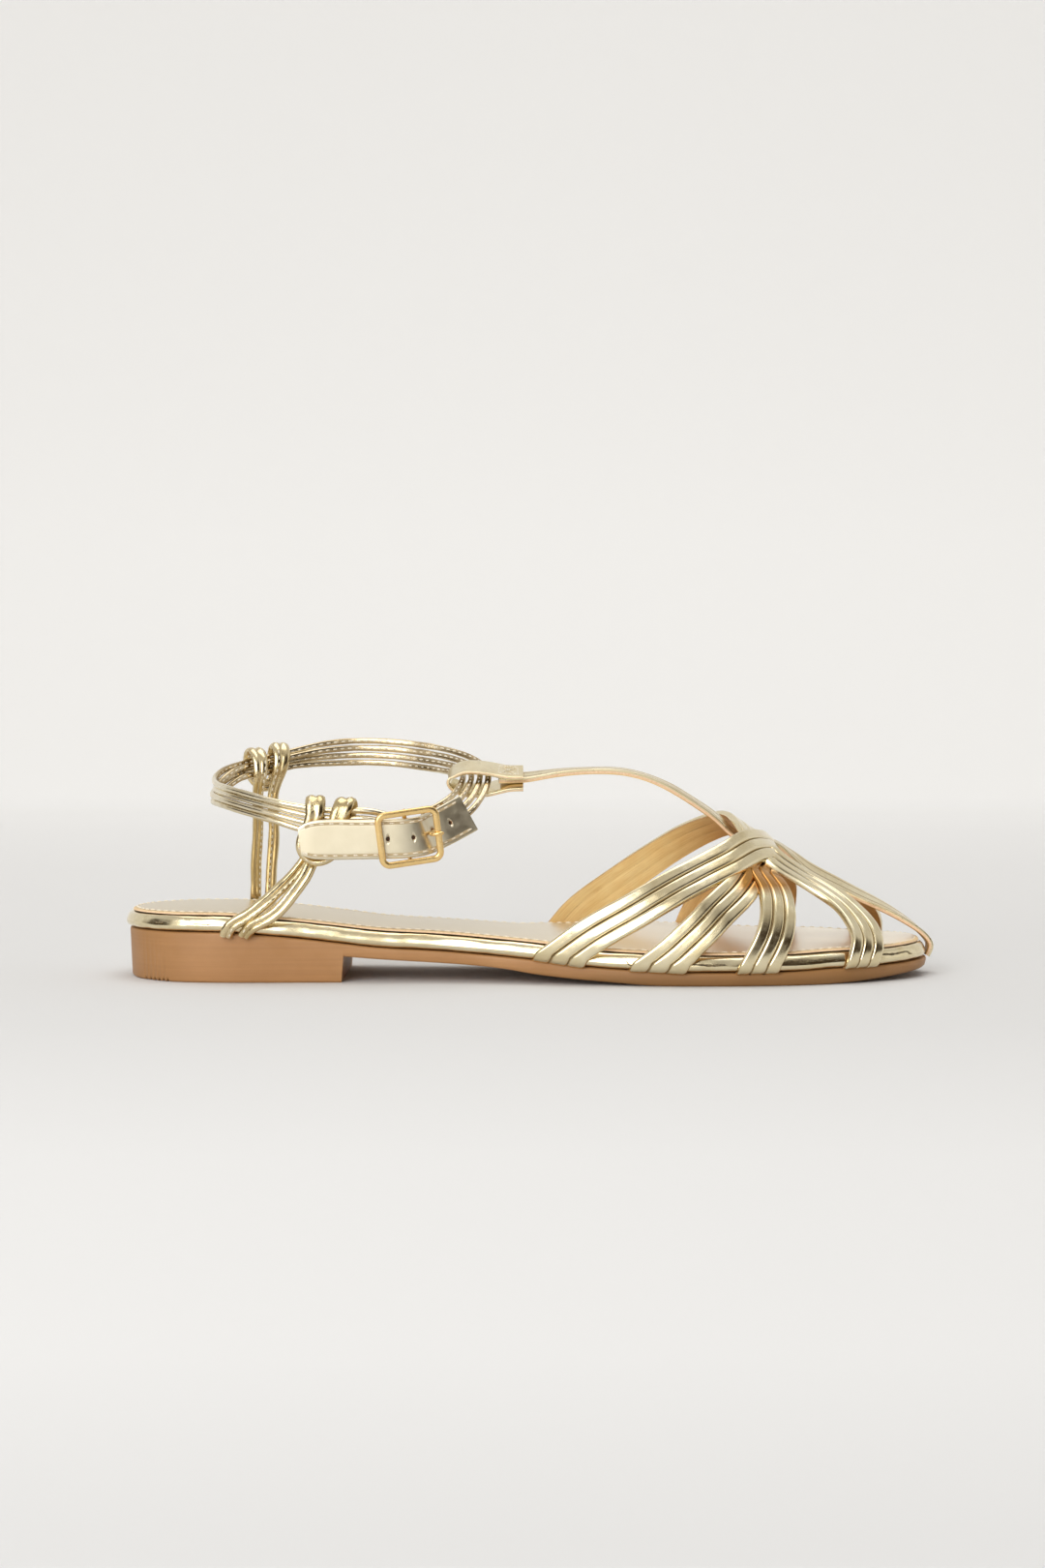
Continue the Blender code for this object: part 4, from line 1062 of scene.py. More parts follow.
def build_footbed():
    rings = [(inset, lambda x, up=up: footbed_bottom(x) + up) for inset, up in RIM_PROFILE]
    return ladder_slab("footbed_foil_wrap", sole_stations(FOOTBED_STATIONS), rings, gold_foil)


footbed = build_footbed()
dent(footbed, 0.16, (9, 9, 3), 3.1)
dent(footbed, 0.12, (2.6, 2.6, 1.2), 8.4)
wear(footbed, "foil_leather", "footbed")

# %% [markdown]
# ### Crumples of the wrap
# Next to the straps, at the heel and at the toe, the wrap is gathered in tight
# crumples, which show dark with shade and dark reflections. They could be sculpted or
# painted; here each one is a thin lens of crinkled leather in painted shade, laid on the
# lateral side of the rim, which can be moved by changing one row of its table.

# %% Crumples
# x and height above the underside at both ends, width.
CRUMPLES = [
    (48.0, 2.3, 58.5, 2.2, 0.9), (76.0, 3.1, 92.0, 2.6, 0.9), (105.0, 3.0, 115.5, 3.0, 0.8),
    (115.0, 3.0, 116.8, 1.9, 0.4), (28.2, 2.8, 30.0, 0.9, 0.4), (30.0, 0.9, 32.5, 3.1, 0.4),
    (-115.7, 2.6, -109.9, 2.4, 0.8), (-104.0, 2.4, -93.0, 2.2, 0.3),
]
CRUMPLE_SECTIONS = 20
CRUMPLE_THICKNESS = 0.3
CRUMPLE_LIFT = 0.2


def build_crumple(number, row):
    """A crumple's painted shade pressed into the lateral side of the rim, wavy and uneven in width.
    """
    x_from, up_from, x_to, up_to, width = row
    ups, insets = column(RIM_PROFILE, 1), column(RIM_PROFILE, 0)
    line, sections = [], []
    for part in np.linspace(0, 1, CRUMPLE_SECTIONS):
        x = x_from + (x_to - x_from) * part
        up = up_from + (up_to - up_from) * part + 0.12 * math.sin(9 * part)
        inset = np.interp(up, ups, insets)
        line.append((x, edge(x, 1) + inset - CRUMPLE_LIFT, footbed_bottom(x) + up))
        size = (0.1 + 0.9 * math.sin(math.pi * part) ** 0.6) * (0.8 + 0.2 * math.sin(31 * part))
        sections.append(round_section(width * size, CRUMPLE_THICKNESS * size, 8))
    return swept_piece(f"footbed_crumple_shade_{number + 1}", line, (0, -1, 0.3), sections,
                       [crumple_shade])


for number, row in enumerate(CRUMPLES):
    wear(build_crumple(number, row), "foil_leather")

# %% [markdown]
# ## The sock and its stitches
# The sock is the satin lining the foot stands on. It is cut a little smaller than the
# footbed, so its raw edge and a narrow golden border show all round, and a row of
# stitches runs inside them. It could be a face lifted off the footbed; as a slab of
# its own it keeps a true thickness, and its rings say where each colour starts.

# %% Sock
RIM_RADIUS = 2.3                       # half the height of the footbed's padded edge
SOCK_INSET = 2.1                       # from the footbed's edge to the sock's
SOCK_LIFT = 2 * RIM_RADIUS + GAP
SOCK_STATIONS = 150
# From the cut edge inwards: inset, height.
SOCK_EDGE = [
    (0.0, 0.0), (-0.05, 0.12), (0.05, 0.36), (0.3, 0.55), (1.0, 0.72), (1.7, 0.8), (2.6, 0.9),
]
CUT_RINGS = 2                          # raw leather
BORDER_RINGS = 4                       # and up to here the golden border


def build_sock():
    rings = [(SOCK_INSET + inset, lambda x, up=up: footbed_bottom(x) + SOCK_LIFT + up)
             for inset, up in SOCK_EDGE]
    stations = sole_stations(SOCK_STATIONS)
    ring_faces = 2 * len(stations) - 2
    made = ladder_slab("sock_lining", stations, rings, sock_satin)
    for finish in (peach_edge, sock_border):
        made.data.materials.append(finish)
    for face in made.data.polygons[:BORDER_RINGS * ring_faces]:
        face.material_index = 1 if face.index < CUT_RINGS * ring_faces else 2
    return made


wear(build_sock(), "sock_satin", "sock")

# %% [markdown]
# ### A row of stitches
# A stitch shows as a small pillow of thread that dips into the leather at both ends.
# An array modifier could repeat one along a curve, but it stretches what it copies.
# Here each stitch is set on the line by its own length, and the row is one mesh.
# Under the long rows lies a shallow channel in shade, shown by a flat bead of painted
# shade that the thread sinks into.

# %% Stitches
# One stitch from end to end: place along it, thickness there.
STITCH_RINGS = [
    (-0.5, 0.25), (-0.4, 0.72), (-0.15, 1.0), (0.15, 1.0), (0.4, 0.72), (0.5, 0.25),
]
STITCH_SIDES = 6
STITCH_DIP = 2.5                       # how deep its ends go, in its own heights


def stitches(name, points, normals, finish, length, gap, width, height):
    """A row of stitches along a line: small pillows of thread in one mesh."""
    points = np.array(points, dtype=float)
    normals = np.broadcast_to(np.array(normals, dtype=float), points.shape)
    far = distances(points)
    starts = np.arange(gap / 2, far[-1] - length, length + gap)
    skin, faces = [], []
    rings, sides = STITCH_RINGS, STITCH_SIDES
    for start in starts:
        middle = start + length / 2
        centre, back, front = (read_line(points, far, at) for at in (middle, start, start + length))
        normal = unit(read_line(normals, far, middle))
        along = unit(front - back)
        side = np.cross(normal, along)
        base = len(skin)
        for t, size in rings:
            for k in range(sides):
                a = 2 * math.pi * k / sides
                skin.append(centre + along * (t * length) + side * (width / 2 * size * math.cos(a))
                            + normal * (height / 2 * size * math.sin(a)
                                        - abs(t) ** 3 * height * STITCH_DIP))
        faces += tube_faces(len(rings), sides, base)
        for end in (base, base + (len(rings) - 1) * sides):
            faces.append(tuple(range(end, end + sides)))
    return mesh_piece(name, skin, faces, [finish])


def channel(name, line, normals, width, depth, slot):
    """The shallow groove under a row, shown by a flat bead of painted shade."""
    wear(swept_piece(name, line, normals, round_section(width, depth, 8), [soft_shade]), slot)


print("a stitch has", len(STITCH_RINGS) * STITCH_SIDES, "corners")

# %% [markdown]
# ### The row round the sock
# The row follows the sock all the way round, a little inside its border, so its line
# is the outline itself, moved inwards and laid on the sock.

# %% Row of the sock
SOCK_STITCH_INSET = 1.15
SOCK_STITCH_LIFT = 0.76
SOCK_CHANNEL_WIDTH = 0.9
CHANNEL_BEAD = 0.12
CHANNEL_SINK = 0.04                    # how far the channel lies under the thread's line


def sock_stitch_line():
    loop = inset_loop(outline_loop(sole_stations(SOCK_STATIONS)), SOCK_INSET + SOCK_STITCH_INSET)
    loop = np.vstack([loop, loop[:1]])
    return [(x, y, footbed_bottom(x) + rise_at(x, y) + SOCK_LIFT + SOCK_STITCH_LIFT)
            for x, y in loop]


line = sock_stitch_line()
channel("sock_stitch_channel_shade", np.array(line) - (0.0, 0.0, CHANNEL_SINK), (0.0, 0.0, 1.0),
        SOCK_CHANNEL_WIDTH, CHANNEL_BEAD, "sock_satin")
wear(stitches("sock_stitches", line, (0.0, 0.0, 1.0), sock_thread,
              length=2.2, gap=0.8, width=0.7, height=0.65), "sock_satin")

# %% [markdown]
# ## The last under the straps
# A band lies on the last, the wooden foot that the sandal is made on. Its place is
# given by x and by an angle around the last, 0 at the lateral edge of the footbed,
# 90 on the ridge and 180 at the medial edge. Past either edge the band follows the
# padded rim and is tucked under it.

# %% Last
# Ridge of the last: x, height, y.
RIDGE = [
    (0.0, 64.0, 6.0), (20.0, 60.0, 6.0), (40.0, 54.5, 6.5), (55.0, 50.0, 7.0),
    (62.0, 47.0, 7.0), (72.0, 40.5, 6.0), (78.0, 36.2, 5.8), (84.0, 32.6, 5.5),
    (95.0, 27.3, 5.0), (107.0, 22.2, 4.0), (118.0, 15.0, 3.0),
]


def edge_normal(x, side):
    """Outward direction of the footbed's outline in plan."""
    slope = edge(x + 0.5, side) - edge(x - 0.5, side)
    normal = np.array([-slope, 1.0]) if side == 2 else np.array([slope, -1.0])
    return normal / np.linalg.norm(normal)


def last_point(x, around):
    """Point on the last, or round the padded edge beyond 0 and 180 degrees."""
    middle = footbed_bottom(x) + RIM_RADIUS
    bank = profile(BANK, x) if around > 90 else 0.0
    side = 1 if around <= 90 else 2
    normal = edge_normal(x, side)
    at_edge = edge(x, side) + GAP / normal[1]
    if around < 0 or around > 180:
        wrap = RIM_RADIUS + GAP
        a = math.radians(-around if around < 0 else around - 180)
        inwards = -wrap * (1 - math.cos(a))
        down = wrap * math.sin(a)
        return (x + normal[0] * inwards, at_edge + normal[1] * inwards, middle + bank - down)
    a = math.radians(around)
    centre = profile(RIDGE, x, value=2)
    height = profile(RIDGE, x) - middle
    return (x, centre + (at_edge - centre) * abs(math.cos(a)),
            middle + bank * math.cos(a) ** 2 + height * math.sin(a))


def last_frame(x, around):
    """Point, outward normal and direction along the last."""
    point = np.array(last_point(x, around))
    along = unit(np.array(last_point(x + 0.5, around)) - np.array(last_point(x - 0.5, around)))
    across = np.array(last_point(x, around + 1)) - np.array(last_point(x, around - 1))
    normal = unit(np.cross(along, across))
    inside = np.array([x, profile(RIDGE, x, value=2) * 0.5, footbed_bottom(x) + RIM_RADIUS])
    return point, normal if np.dot(normal, point - inside) > 0 else -normal, along


print("instep height at x = 40:", round(last_point(40, 90)[2], 1), "mm")

# %% [markdown]
# ## The bands of the vamp
# Each band is three strips rolled over a cord and sewn side by side: broad soft
# lobes with narrow deep grooves between them. Three tubes would leave slits, so the
# band is one skin whose section has three lobes outside and a nearly flat lining
# inside. Deep in a groove no light comes in, so its faces have a shaded finish. Each
# table gives a band's middle line: x, angle around the last, how far it is lifted over
# its neighbours or pressed under them where they cross, and how far its rear edge
# rises there. The two middle bands start under the crossing, where their foil is
# painted with a warm reflection of the lining above them and with painted shade.

# %% Tables of the bands
# x, angle around the last, lift, rise of the rear edge.
BANDS = {
    "outer_rear": [
        (9.5, 0, 0, 0), (13.8, 4, 0, 0), (18.6, 8.1, 0, 0), (29.5, 16.4, 0, 0),
        (43.5, 28.8, 0, 0.1), (55.5, 40.8, 0.1, 0.5), (61, 48, 0.5, 1.0), (67, 60, 1.5, 1.3),
        (72, 72, 1.3, 1.3), (77.5, 88, 0.5, 1.4), (86.5, 99, 0, 0.6), (96, 108.5, 0, 0.1),
        (103.5, 121, 0, 0), (107, 140, 0, 0), (108.2, 160, 0, 0), (108.3, 180, 0, 0),
    ],
    "inner_rear": [
        (10.5, 180, 0.1, 0), (15.5, 173.8, 0.3, 0), (23.5, 166.5, 0.2, 0), (34, 156.3, 0, 0),
        (47, 139.5, 0, 0), (57, 121.8, 0.3, 0), (63, 105.5, 0.8, 0.2), (66.3, 90, 0.7, 0),
        (69.2, 76, 0.3, -0.6), (73, 66, 0.3, -1.0), (79, 64, 0.2, -0.7),
        (86.5, 61, 0.1, -0.7), (92, 55.5, 0, -0.5), (96, 47, 0, 0), (99.6, 33, 0, 0),
        (101.2, 16, 0, 0), (100.2, 0, 0, 0),
    ],
    "outer_middle": [
        (39.0, 0, 0, 0), (42.9, 4, 0, 0), (46.7, 8.5, 0, 0), (51.4, 14.5, 0, 0),
        (56.3, 22, 0, 0), (61.6, 31, -0.8, 0), (65.4, 41, -1.5, 0), (69, 56, -1.9, 0),
        (72.5, 76, -1.9, 0), (76, 98, -1.9, 0), (79.3, 120, -1.0, 0), (81, 140, 0, 0),
        (81, 160, 0, 0), (80.5, 180, 0, 0),
    ],
    "inner_middle": [
        (52.3, 180, 0, 0), (57.5, 165, 0, 0), (64.2, 152, 0, 0), (68.5, 136, -1.0, 0),
        (70.5, 115, -2.8, 0), (71, 92, -3.2, 0), (71.2, 68, -3.2, 0), (71.4, 49, -1.5, 0),
        (73.1, 40, -0.3, 0), (73.8, 29, 0, 0), (73.0, 17, 0, 0), (70.1, 5, 0, 0),
        (68.4, 0, 0, 0),
    ],
}
print("bands:", ", ".join(BANDS))

# %% [markdown]
# ### From a table to the run of a band
# A band keeps square to its own run over the foot, and turns to lie along the rim
# where it is tucked under. A curve with a fixed twist could not do both, so each
# place gets its own point, its outward direction and its skewed width.

# %% Run of a band
BAND_WIDTH = 11.2
BAND_SECTIONS = 120
TUCK_ANGLES = (5, 11, 18, 25, 32, 39, 46, 53, 60, 66)
TUCK_DRIFT = 0.7                       # how much a tucked end keeps the band's lean
FOOT_HEIGHT = 0.72                     # height of the lobes at the sole, and tucked in
TUCKED_HEIGHT = 0.45
FOOT_REACH = 14                        # degrees over which they are pressed


def band_rows(rows):
    """Places along a band: its tucked start, the way over the last, its tucked end."""
    track = [last_point(row[0], row[1]) for row in rows]
    over = spline(rows, BAND_SECTIONS, measure=track)
    places = []
    for x, around, lift, rear in over:
        foot = max(1 - min(around, 180 - around) / FOOT_REACH, 0.0)
        places.append((x, around, lift, rear, 1 - (1 - FOOT_HEIGHT) * foot))
    for first, inner in ((0, 4), (-1, -5)):
        x, around = over[first][:2]
        lean = (over[inner][0] - x) / np.linalg.norm(
            np.array(last_point(*over[inner][:2])) - np.array(last_point(x, around)))
        outer = []
        for angle in TUCK_ANGLES:
            part = angle / TUCK_ANGLES[-1]
            shift = -TUCK_DRIFT * lean * (RIM_RADIUS + GAP) * math.radians(angle)
            past = -angle if around < 90 else 180 + angle
            press = FOOT_HEIGHT - (FOOT_HEIGHT - TUCKED_HEIGHT) * part
            outer.append((x + shift, past, 0.0, 0.0, press))
        places = outer[::-1] + places if first == 0 else places + outer
    return places


print("places along a band:", len(band_rows(BANDS["outer_rear"])))

# %% [markdown]
# ### Which way a band faces
# Over the foot the section stands square to the run. Near the sole it turns to lie
# along the rim, step by step, so the three strips stay side by side while they bend
# under. Where two bands cross, the rear edge of the upper one is lifted a little.

# %% Frames of a band
OBLIQUE_REACH = 16                     # degrees over which the band turns to the rim
LEAST_SKEW = 0.62                      # keeps a slanting section from growing too wide


def band_frames(rows):
    """Middle points, normals, skewed widths and press of a band's sections."""
    places = band_rows(rows)
    frames = [last_frame(place[0], place[1]) for place in places]
    points = np.array([f[0] + f[1] * place[2] for f, place in zip(frames, places)])
    normals = np.array([f[1] for f in frames])
    tucks = len(TUCK_ANGLES)
    over = heading(points[tucks:-tucks])
    along = np.concatenate([[over[0]] * tucks, over, [over[-1]] * tucks])
    square = np.cross(normals, along)
    square[:tucks] = square[tucks]
    square[-tucks:] = square[-tucks - 1]
    square = unit(square)
    rim = square_to(np.array([f[2] for f in frames]), normals)
    across = []
    for place, straight, edgewise, normal in zip(places, square, rim, normals):
        height = min(place[1], 180 - place[1])
        part = min(max(1 - height / OBLIQUE_REACH, 0.0), 1.0)
        part = part * part * (3 - 2 * part)
        if np.dot(straight, edgewise) < 0:
            edgewise = -edgewise
        mixed = unit(straight * (1 - part) + edgewise * part)
        rising = place[3] / (BAND_WIDTH / 2) * (1.0 if mixed[0] < 0 else -1.0)
        across.append(mixed / max(np.dot(mixed, straight), LEAST_SKEW) + normal * rising)
    return points, normals, np.array(across), [place[4] for place in places]


print("width of a band:", BAND_WIDTH, "mm")

# %% [markdown]
# ### The section of a band
# Rolled leather makes a broad lobe that drops steeply into the groove beside it. The
# section is written once and pressed flatter towards the tucked ends, so the bands
# thin out where they go round the rim.

# %% Section of a band
STRIPS_PER_BAND = 3
STRIP_HEIGHT = 1.95
GROOVE_HEIGHT = 0.15
LOBE_FLATNESS = 7.0                    # 2 is a round lobe, more is broader
LOBE_STEPS = 14
LINING_STEPS = 24
CHANNEL_DEPTH = 0.2
HEM = 0.15                             # slope of a band's cut edge


def band_section(press):
    """Three rounded lobes outside, a lining with shallow channels inside.
    Zones: 0 foil, 1 lining, 2 cut edge, 3 the shade deep in a groove."""
    pitch = BAND_WIDTH / STRIPS_PER_BAND
    half = BAND_WIDTH / 2
    crest, groove = STRIP_HEIGHT * press, GROOVE_HEIGHT * press
    out, zones = [], []
    for strip in range(STRIPS_PER_BAND):
        for step in range(LOBE_STEPS):
            t = -math.cos(math.pi * step / LOBE_STEPS)
            if strip and step == 0:
                out.append((-half + strip * pitch, groove))
            else:
                rise = (1 - abs(t) ** LOBE_FLATNESS) ** 0.5
                out.append((-half + (strip + 0.5 + t / 2) * pitch,
                            groove + (crest - groove) * rise))
            after = strip > 0 and step < 2
            before = strip < STRIPS_PER_BAND - 1 and step > LOBE_STEPS - 3
            zones.append(3 if after or before else 0)
    out.append((half, groove))
    zones.append(2)
    out.append((half - HEM, 0.0))
    zones.append(1)
    for step in range(1, LINING_STEPS):
        u = half - HEM - (BAND_WIDTH - 2 * HEM) * step / LINING_STEPS
        channel = abs(math.sin(math.pi * (u + half) / pitch)) ** 0.7
        out.append((u, CHANNEL_DEPTH * (1 - channel) * press))
        zones.append(1)
    out.append((-half + HEM, 0.0))
    zones.append(2)
    return out, zones


print("corners in a band's section:", len(band_section(1.0)[0]))

# %% [markdown]
# ### Dressing the bands
# The four bands share one section and one pair of dents, coarse and fine. The seed
# comes from the length of the band's name, so it is the same in every run.

# %% Bands
def build_band(key):
    points, normals, across, press = band_frames(BANDS[key])
    sections = [band_section(p)[0] for p in press]
    # The middle bands take the foil with painted reflection and shade under the crossing.
    foil = painted_glow_foil if key.endswith("middle") else gold_foil
    band = swept_piece(f"band_{key}", points, normals, sections,
                       [foil, lining, cut_edge, seam_shade], across, band_section(1.0)[1])
    dent(band, 0.08, (7, 7, 7), len(key) * 1.7)
    dent(band, 0.03, (2.2, 2.2, 2.2), len(key) * 2.9)
    wear(band, "foil_leather", "upper")


for key in BANDS:
    build_band(key)

# %% [markdown]
# ## The T-strap
# One narrow flat strap runs from the tab over the instep, slips under the crossing
# and goes on to the toe as the middle strap. It is foil on top, lining below, and
# its cut edges show as two pale lines. Its sides are folded under, which leaves a
# fine crease along each, painted dark with shade. In the table: place, and degrees
# rolled to the outer side.

# %% Line of the T-strap
# x, y, z, roll.
T_STRAP = [
    (-9.8, 0.6, 61.1, 18), (-2, 1.0, 61.2, 17), (7, 1.5, 62.4, 10), (17, 2, 63.2, 6),
    (29, 2.5, 62.9, 7), (41, 3, 59.3, 10), (52, 3.2, 52.9, 14), (58, 3.5, 48.6, 16),
    (62, 3.8, 44.9, 18), (67, 4, 41.6, 14), (72, 4.5, 41.0, 8), (76, 4.9, 40.6, 6),
    (80, 5, 38.2, 12), (83, 5, 35.8, 24), (86, 5, 33.3, 31), (89, 4.9, 31.4, 31),
    (95, 4.6, 28.3, 30), (101, 4.4, 25.2, 28), (113, 3.6, 19.2, 16), (119.5, 3.2, 15.0, 6),
    (123.2, 3.0, 11.9, 0), (125.0, 3.0, 8.9, 0), (123.9, 3.0, 5.6, 0),
]


def rolled_normals(points, degrees):
    """Outer normals of a strap that runs forwards, rolled towards the lateral side."""
    roll = np.radians(degrees)
    medial = np.stack([np.zeros(len(roll)), np.cos(roll), np.sin(roll)], axis=1)
    return np.cross(np.gradient(points, axis=0), medial)


print("the T-strap starts at x =", T_STRAP[0][0], "mm")

# %% [markdown]
# ### A flat section
# A solidified ribbon has plain square edges. Drawn point by point, the section gets
# rounded ones, each face its zone, and a crease along each fold where it is asked for.
# The tab, the buckle strap and the strip behind the buckle use it too.

# %% Flat section
T_WIDTH = 6.2
T_THICKNESS = 1.7
CREASE_DEPTH = 0.3
CREASE_WIDTH = 0.4
FLAT_STEPS = 6
EDGE_STEPS = 4


def flat_section(width, thickness, bevel=0.35, raw=0.45, crease=0.0):
    """Flat strap with rounded edges. Zones: 0 outside, 1 inside, 2 the cut edges,
    whose lower part is raw leather; the foil is drawn over the rest. A strap folded
    at its edges has a crease along each of them, at a distance from the edge; the
    faces in the crease are zone 3, for painted shade."""
    w, t, side = width / 2, thickness / 2, thickness / 2 - bevel
    cut = -side + 2 * side * raw
    turn = [math.radians(90 * step / EDGE_STEPS) for step in range(EDGE_STEPS + 1)]
    rounded = [(w - bevel + bevel * math.sin(a), side + bevel * math.cos(a)) for a in turn]
    if crease:
        near, far = w - crease - CREASE_WIDTH / 2, w - crease + CREASE_WIDTH / 2
        groove = [(near, t), (w - crease, t - CREASE_DEPTH), (far, t)]
        out = [(-w + bevel, t)] + [(-u, h) for u, h in groove[::-1]] + [(0.0, t)] + groove
        zones = [0, 3, 3, 0, 0, 3, 3, 0]
    else:
        out = [(u, t) for u in np.linspace(-w + bevel, w - bevel, FLAT_STEPS + 1)[:-1]]
        zones = [0] * len(out)
    out += rounded + [(w, cut)]
    zones += [0] * len(rounded) + [2]
    lower = [(u, -h) for u, h in rounded[::-1]]
    out += lower
    zones += [1] * len(lower)
    out += [(u, -t) for u in np.linspace(w - bevel, -w + bevel, FLAT_STEPS + 1)[1:]]
    zones += [1] * FLAT_STEPS
    out += [(-u, -h) for u, h in rounded[1:]] + [(-w, cut)]
    zones += [1] * (len(rounded) - 2) + [2, 0]
    out += [(-u, h) for u, h in rounded[::-1][:-1]]
    zones += [0] * (len(rounded) - 1)
    return out, zones


print("corners in the strap's section:", len(flat_section(T_WIDTH, T_THICKNESS)[0]))

# %% [markdown]
# ### Dressing the T-strap
# The strap is swept with its crease and a sharper shading angle, so that the folded
# edges catch a line of light. One coarse dent keeps it from looking drawn.

# %% T-strap
T_SECTIONS = 180
T_CREASE = 1.5                         # from its edge to the crease


def build_t_strap():
    rows = spline(T_STRAP, T_SECTIONS)
    section, zones = flat_section(T_WIDTH, T_THICKNESS, raw=0.7, crease=T_CREASE)
    # seam_shade paints the shade in the creases.
    strap = swept_piece("t_strap", rows[:, :3], rolled_normals(rows[:, :3], rows[:, 3]),
                        section, [soft_foil, lining, peach_edge, seam_shade],
                        zones=zones, sharp=30)
    dent(strap, 0.08, (9, 9, 9), 5.5)
    wear(strap, "foil_leather", "upper")


build_t_strap()

# %% [markdown]
# ## The ankle cords
# Four rolled strips run side by side round the ankle. Each is leather rolled over a
# core and sewn shut along its inner face, so the inner faces are flatter, with a row
# of stitches, and the outer ones are smooth. The inner faces are in a darker copy of
# the foil as painted shade, and the outer ones in a paler copy as painted light. They
# spread at the front and gather behind the heel, where they stand in and out by turns.
# Four curves with a bevel would need a path each; here one table moves all four. Its
# columns are the bundle's middle, its roll in degrees, the pitch of the cords, and how
# far they stand in and out.

# %% Loop of the ankle
ANKLE_MIDDLE = (-57.0, 0.0, 0.0)
# x, y, z, roll, pitch, stagger.
ANKLE_LOOP = [
    (-32.0, -21.5, 47.8, 172, 2.35, 0), (-26.5, -18.2, 50.0, 160, 2.35, 0),
    (-20.2, -12.6, 54.6, 130, 2.5, 0), (-17.3, -5.0, 59.5, 98, 2.6, 0),
    (-17.8, 5.5, 63.0, 75, 2.6, 0), (-24.0, 16.0, 65.4, 42, 2.45, 0),
    (-34.0, 24.0, 67.2, 14, 2.35, 0), (-50.0, 29.3, 68.6, 0, 2.35, 0),
    (-66.0, 28.1, 68.0, 0, 2.1, 0.45), (-77.0, 24.2, 66.2, 4, 1.5, 1.0),
    (-86.0, 19.4, 64.0, 14, 1.55, 1.0), (-93.6, 11.0, 62.0, 20, 1.5, 0.9),
    (-98.3, 1.5, 57.6, -8, 1.95, 0.35), (-96.0, -8.0, 56.1, -10, 1.9, 0.3),
    (-87.5, -18.0, 54.1, -6, 1.9, 0.3), (-76.0, -25.4, 51.4, 0, 2.0, 0.25),
    (-66.0, -27.8, 49.2, 0, 2.3, 0), (-58.0, -28.4, 48.5, 0, 2.35, 0),
    (-48.0, -28.4, 48.2, 0, 2.35, 0), (-43.8, -28.0, 47.5, 0, 2.2, 0),
]


def loop_frames(rows):
    """Directions of the ankle bundle: outwards from the ankle, and up."""
    points = rows[:, :3]
    along = heading(points)
    outwards = square_to((points - np.array(ANKLE_MIDDLE)) * np.array([1.0, 1.0, 0.0]), along)
    up = np.cross(along, outwards)
    up[up[:, 2] < 0] *= -1
    return points, outwards, unit(up)


print("places in the table of the loop:", len(ANKLE_LOOP))

# %% [markdown]
# ### Rolling the cords
# Each cord stands at its own place in the bundle, which rolls as it goes round the
# ankle. The row of stitches sits on the flattened inner face, in the same directions.

# %% Cords
CORD_DIAMETER = 1.95
CORD_COUNT = 4
CORD_SECTIONS = 260
CORD_SIDES = 14
CORD_FLAT = 0.72                       # where the inner face is flat, in radii


def cord_line(index):
    rows = spline(ANKLE_LOOP, CORD_SECTIONS)
    points, outwards, up = loop_frames(rows)
    roll = np.radians(rows[:, 3])[:, None]
    row_direction = np.cos(roll) * up + np.sin(roll) * outwards
    across = -np.sin(roll) * up + np.cos(roll) * outwards
    place = index - (CORD_COUNT - 1) / 2
    turn = 1.0 if index % 2 else -1.0
    points = points + row_direction * (rows[:, 4:5] * place) + across * (rows[:, 5:6] * turn)
    return points, across


def build_ankle_cord(index):
    points, outwards = cord_line(index)
    section = []
    for u, h in round_section(CORD_DIAMETER, CORD_DIAMETER, CORD_SIDES):
        section.append((u, max(h, -CORD_FLAT * CORD_DIAMETER / 2)))
    # Inner faces take the darker foil, painted shade; outer faces the paler one, painted light.
    zones = [1 if h < 0 else 0 for _, h in section]
    cord = swept_piece(f"ankle_strip_{index + 1}", points, outwards, section,
                       [cord_foil, cord_inner_shaded_foil], zones=zones)
    dent(cord, 0.12, (6, 6, 6), 2.3 * index + 1)
    dent(cord, 0.05, (1.6, 1.6, 1.6), 4.1 * index)
    wear(cord, "foil_leather", f"ankle_cord_{index + 1}")
    inside = points - outwards * (CORD_FLAT * CORD_DIAMETER / 2)
    wear(stitches(f"ankle_strip_stitches_{index + 1}", inside, -outwards, pale_thread,
                  length=1.5, gap=0.9, width=0.42, height=0.3), "foil_leather")


for index in range(CORD_COUNT):
    build_ankle_cord(index)

# %% [markdown]
# ## The risers and their knots
# At each side a doubled strip comes up from the sole edge, goes up inside the ankle
# cords, over them and down outside, passes behind its own two legs and goes back
# the same way: a lark's-head knot. The line of such a knot is easiest to write as
# a list of places with the way the strip faces and its width at each.

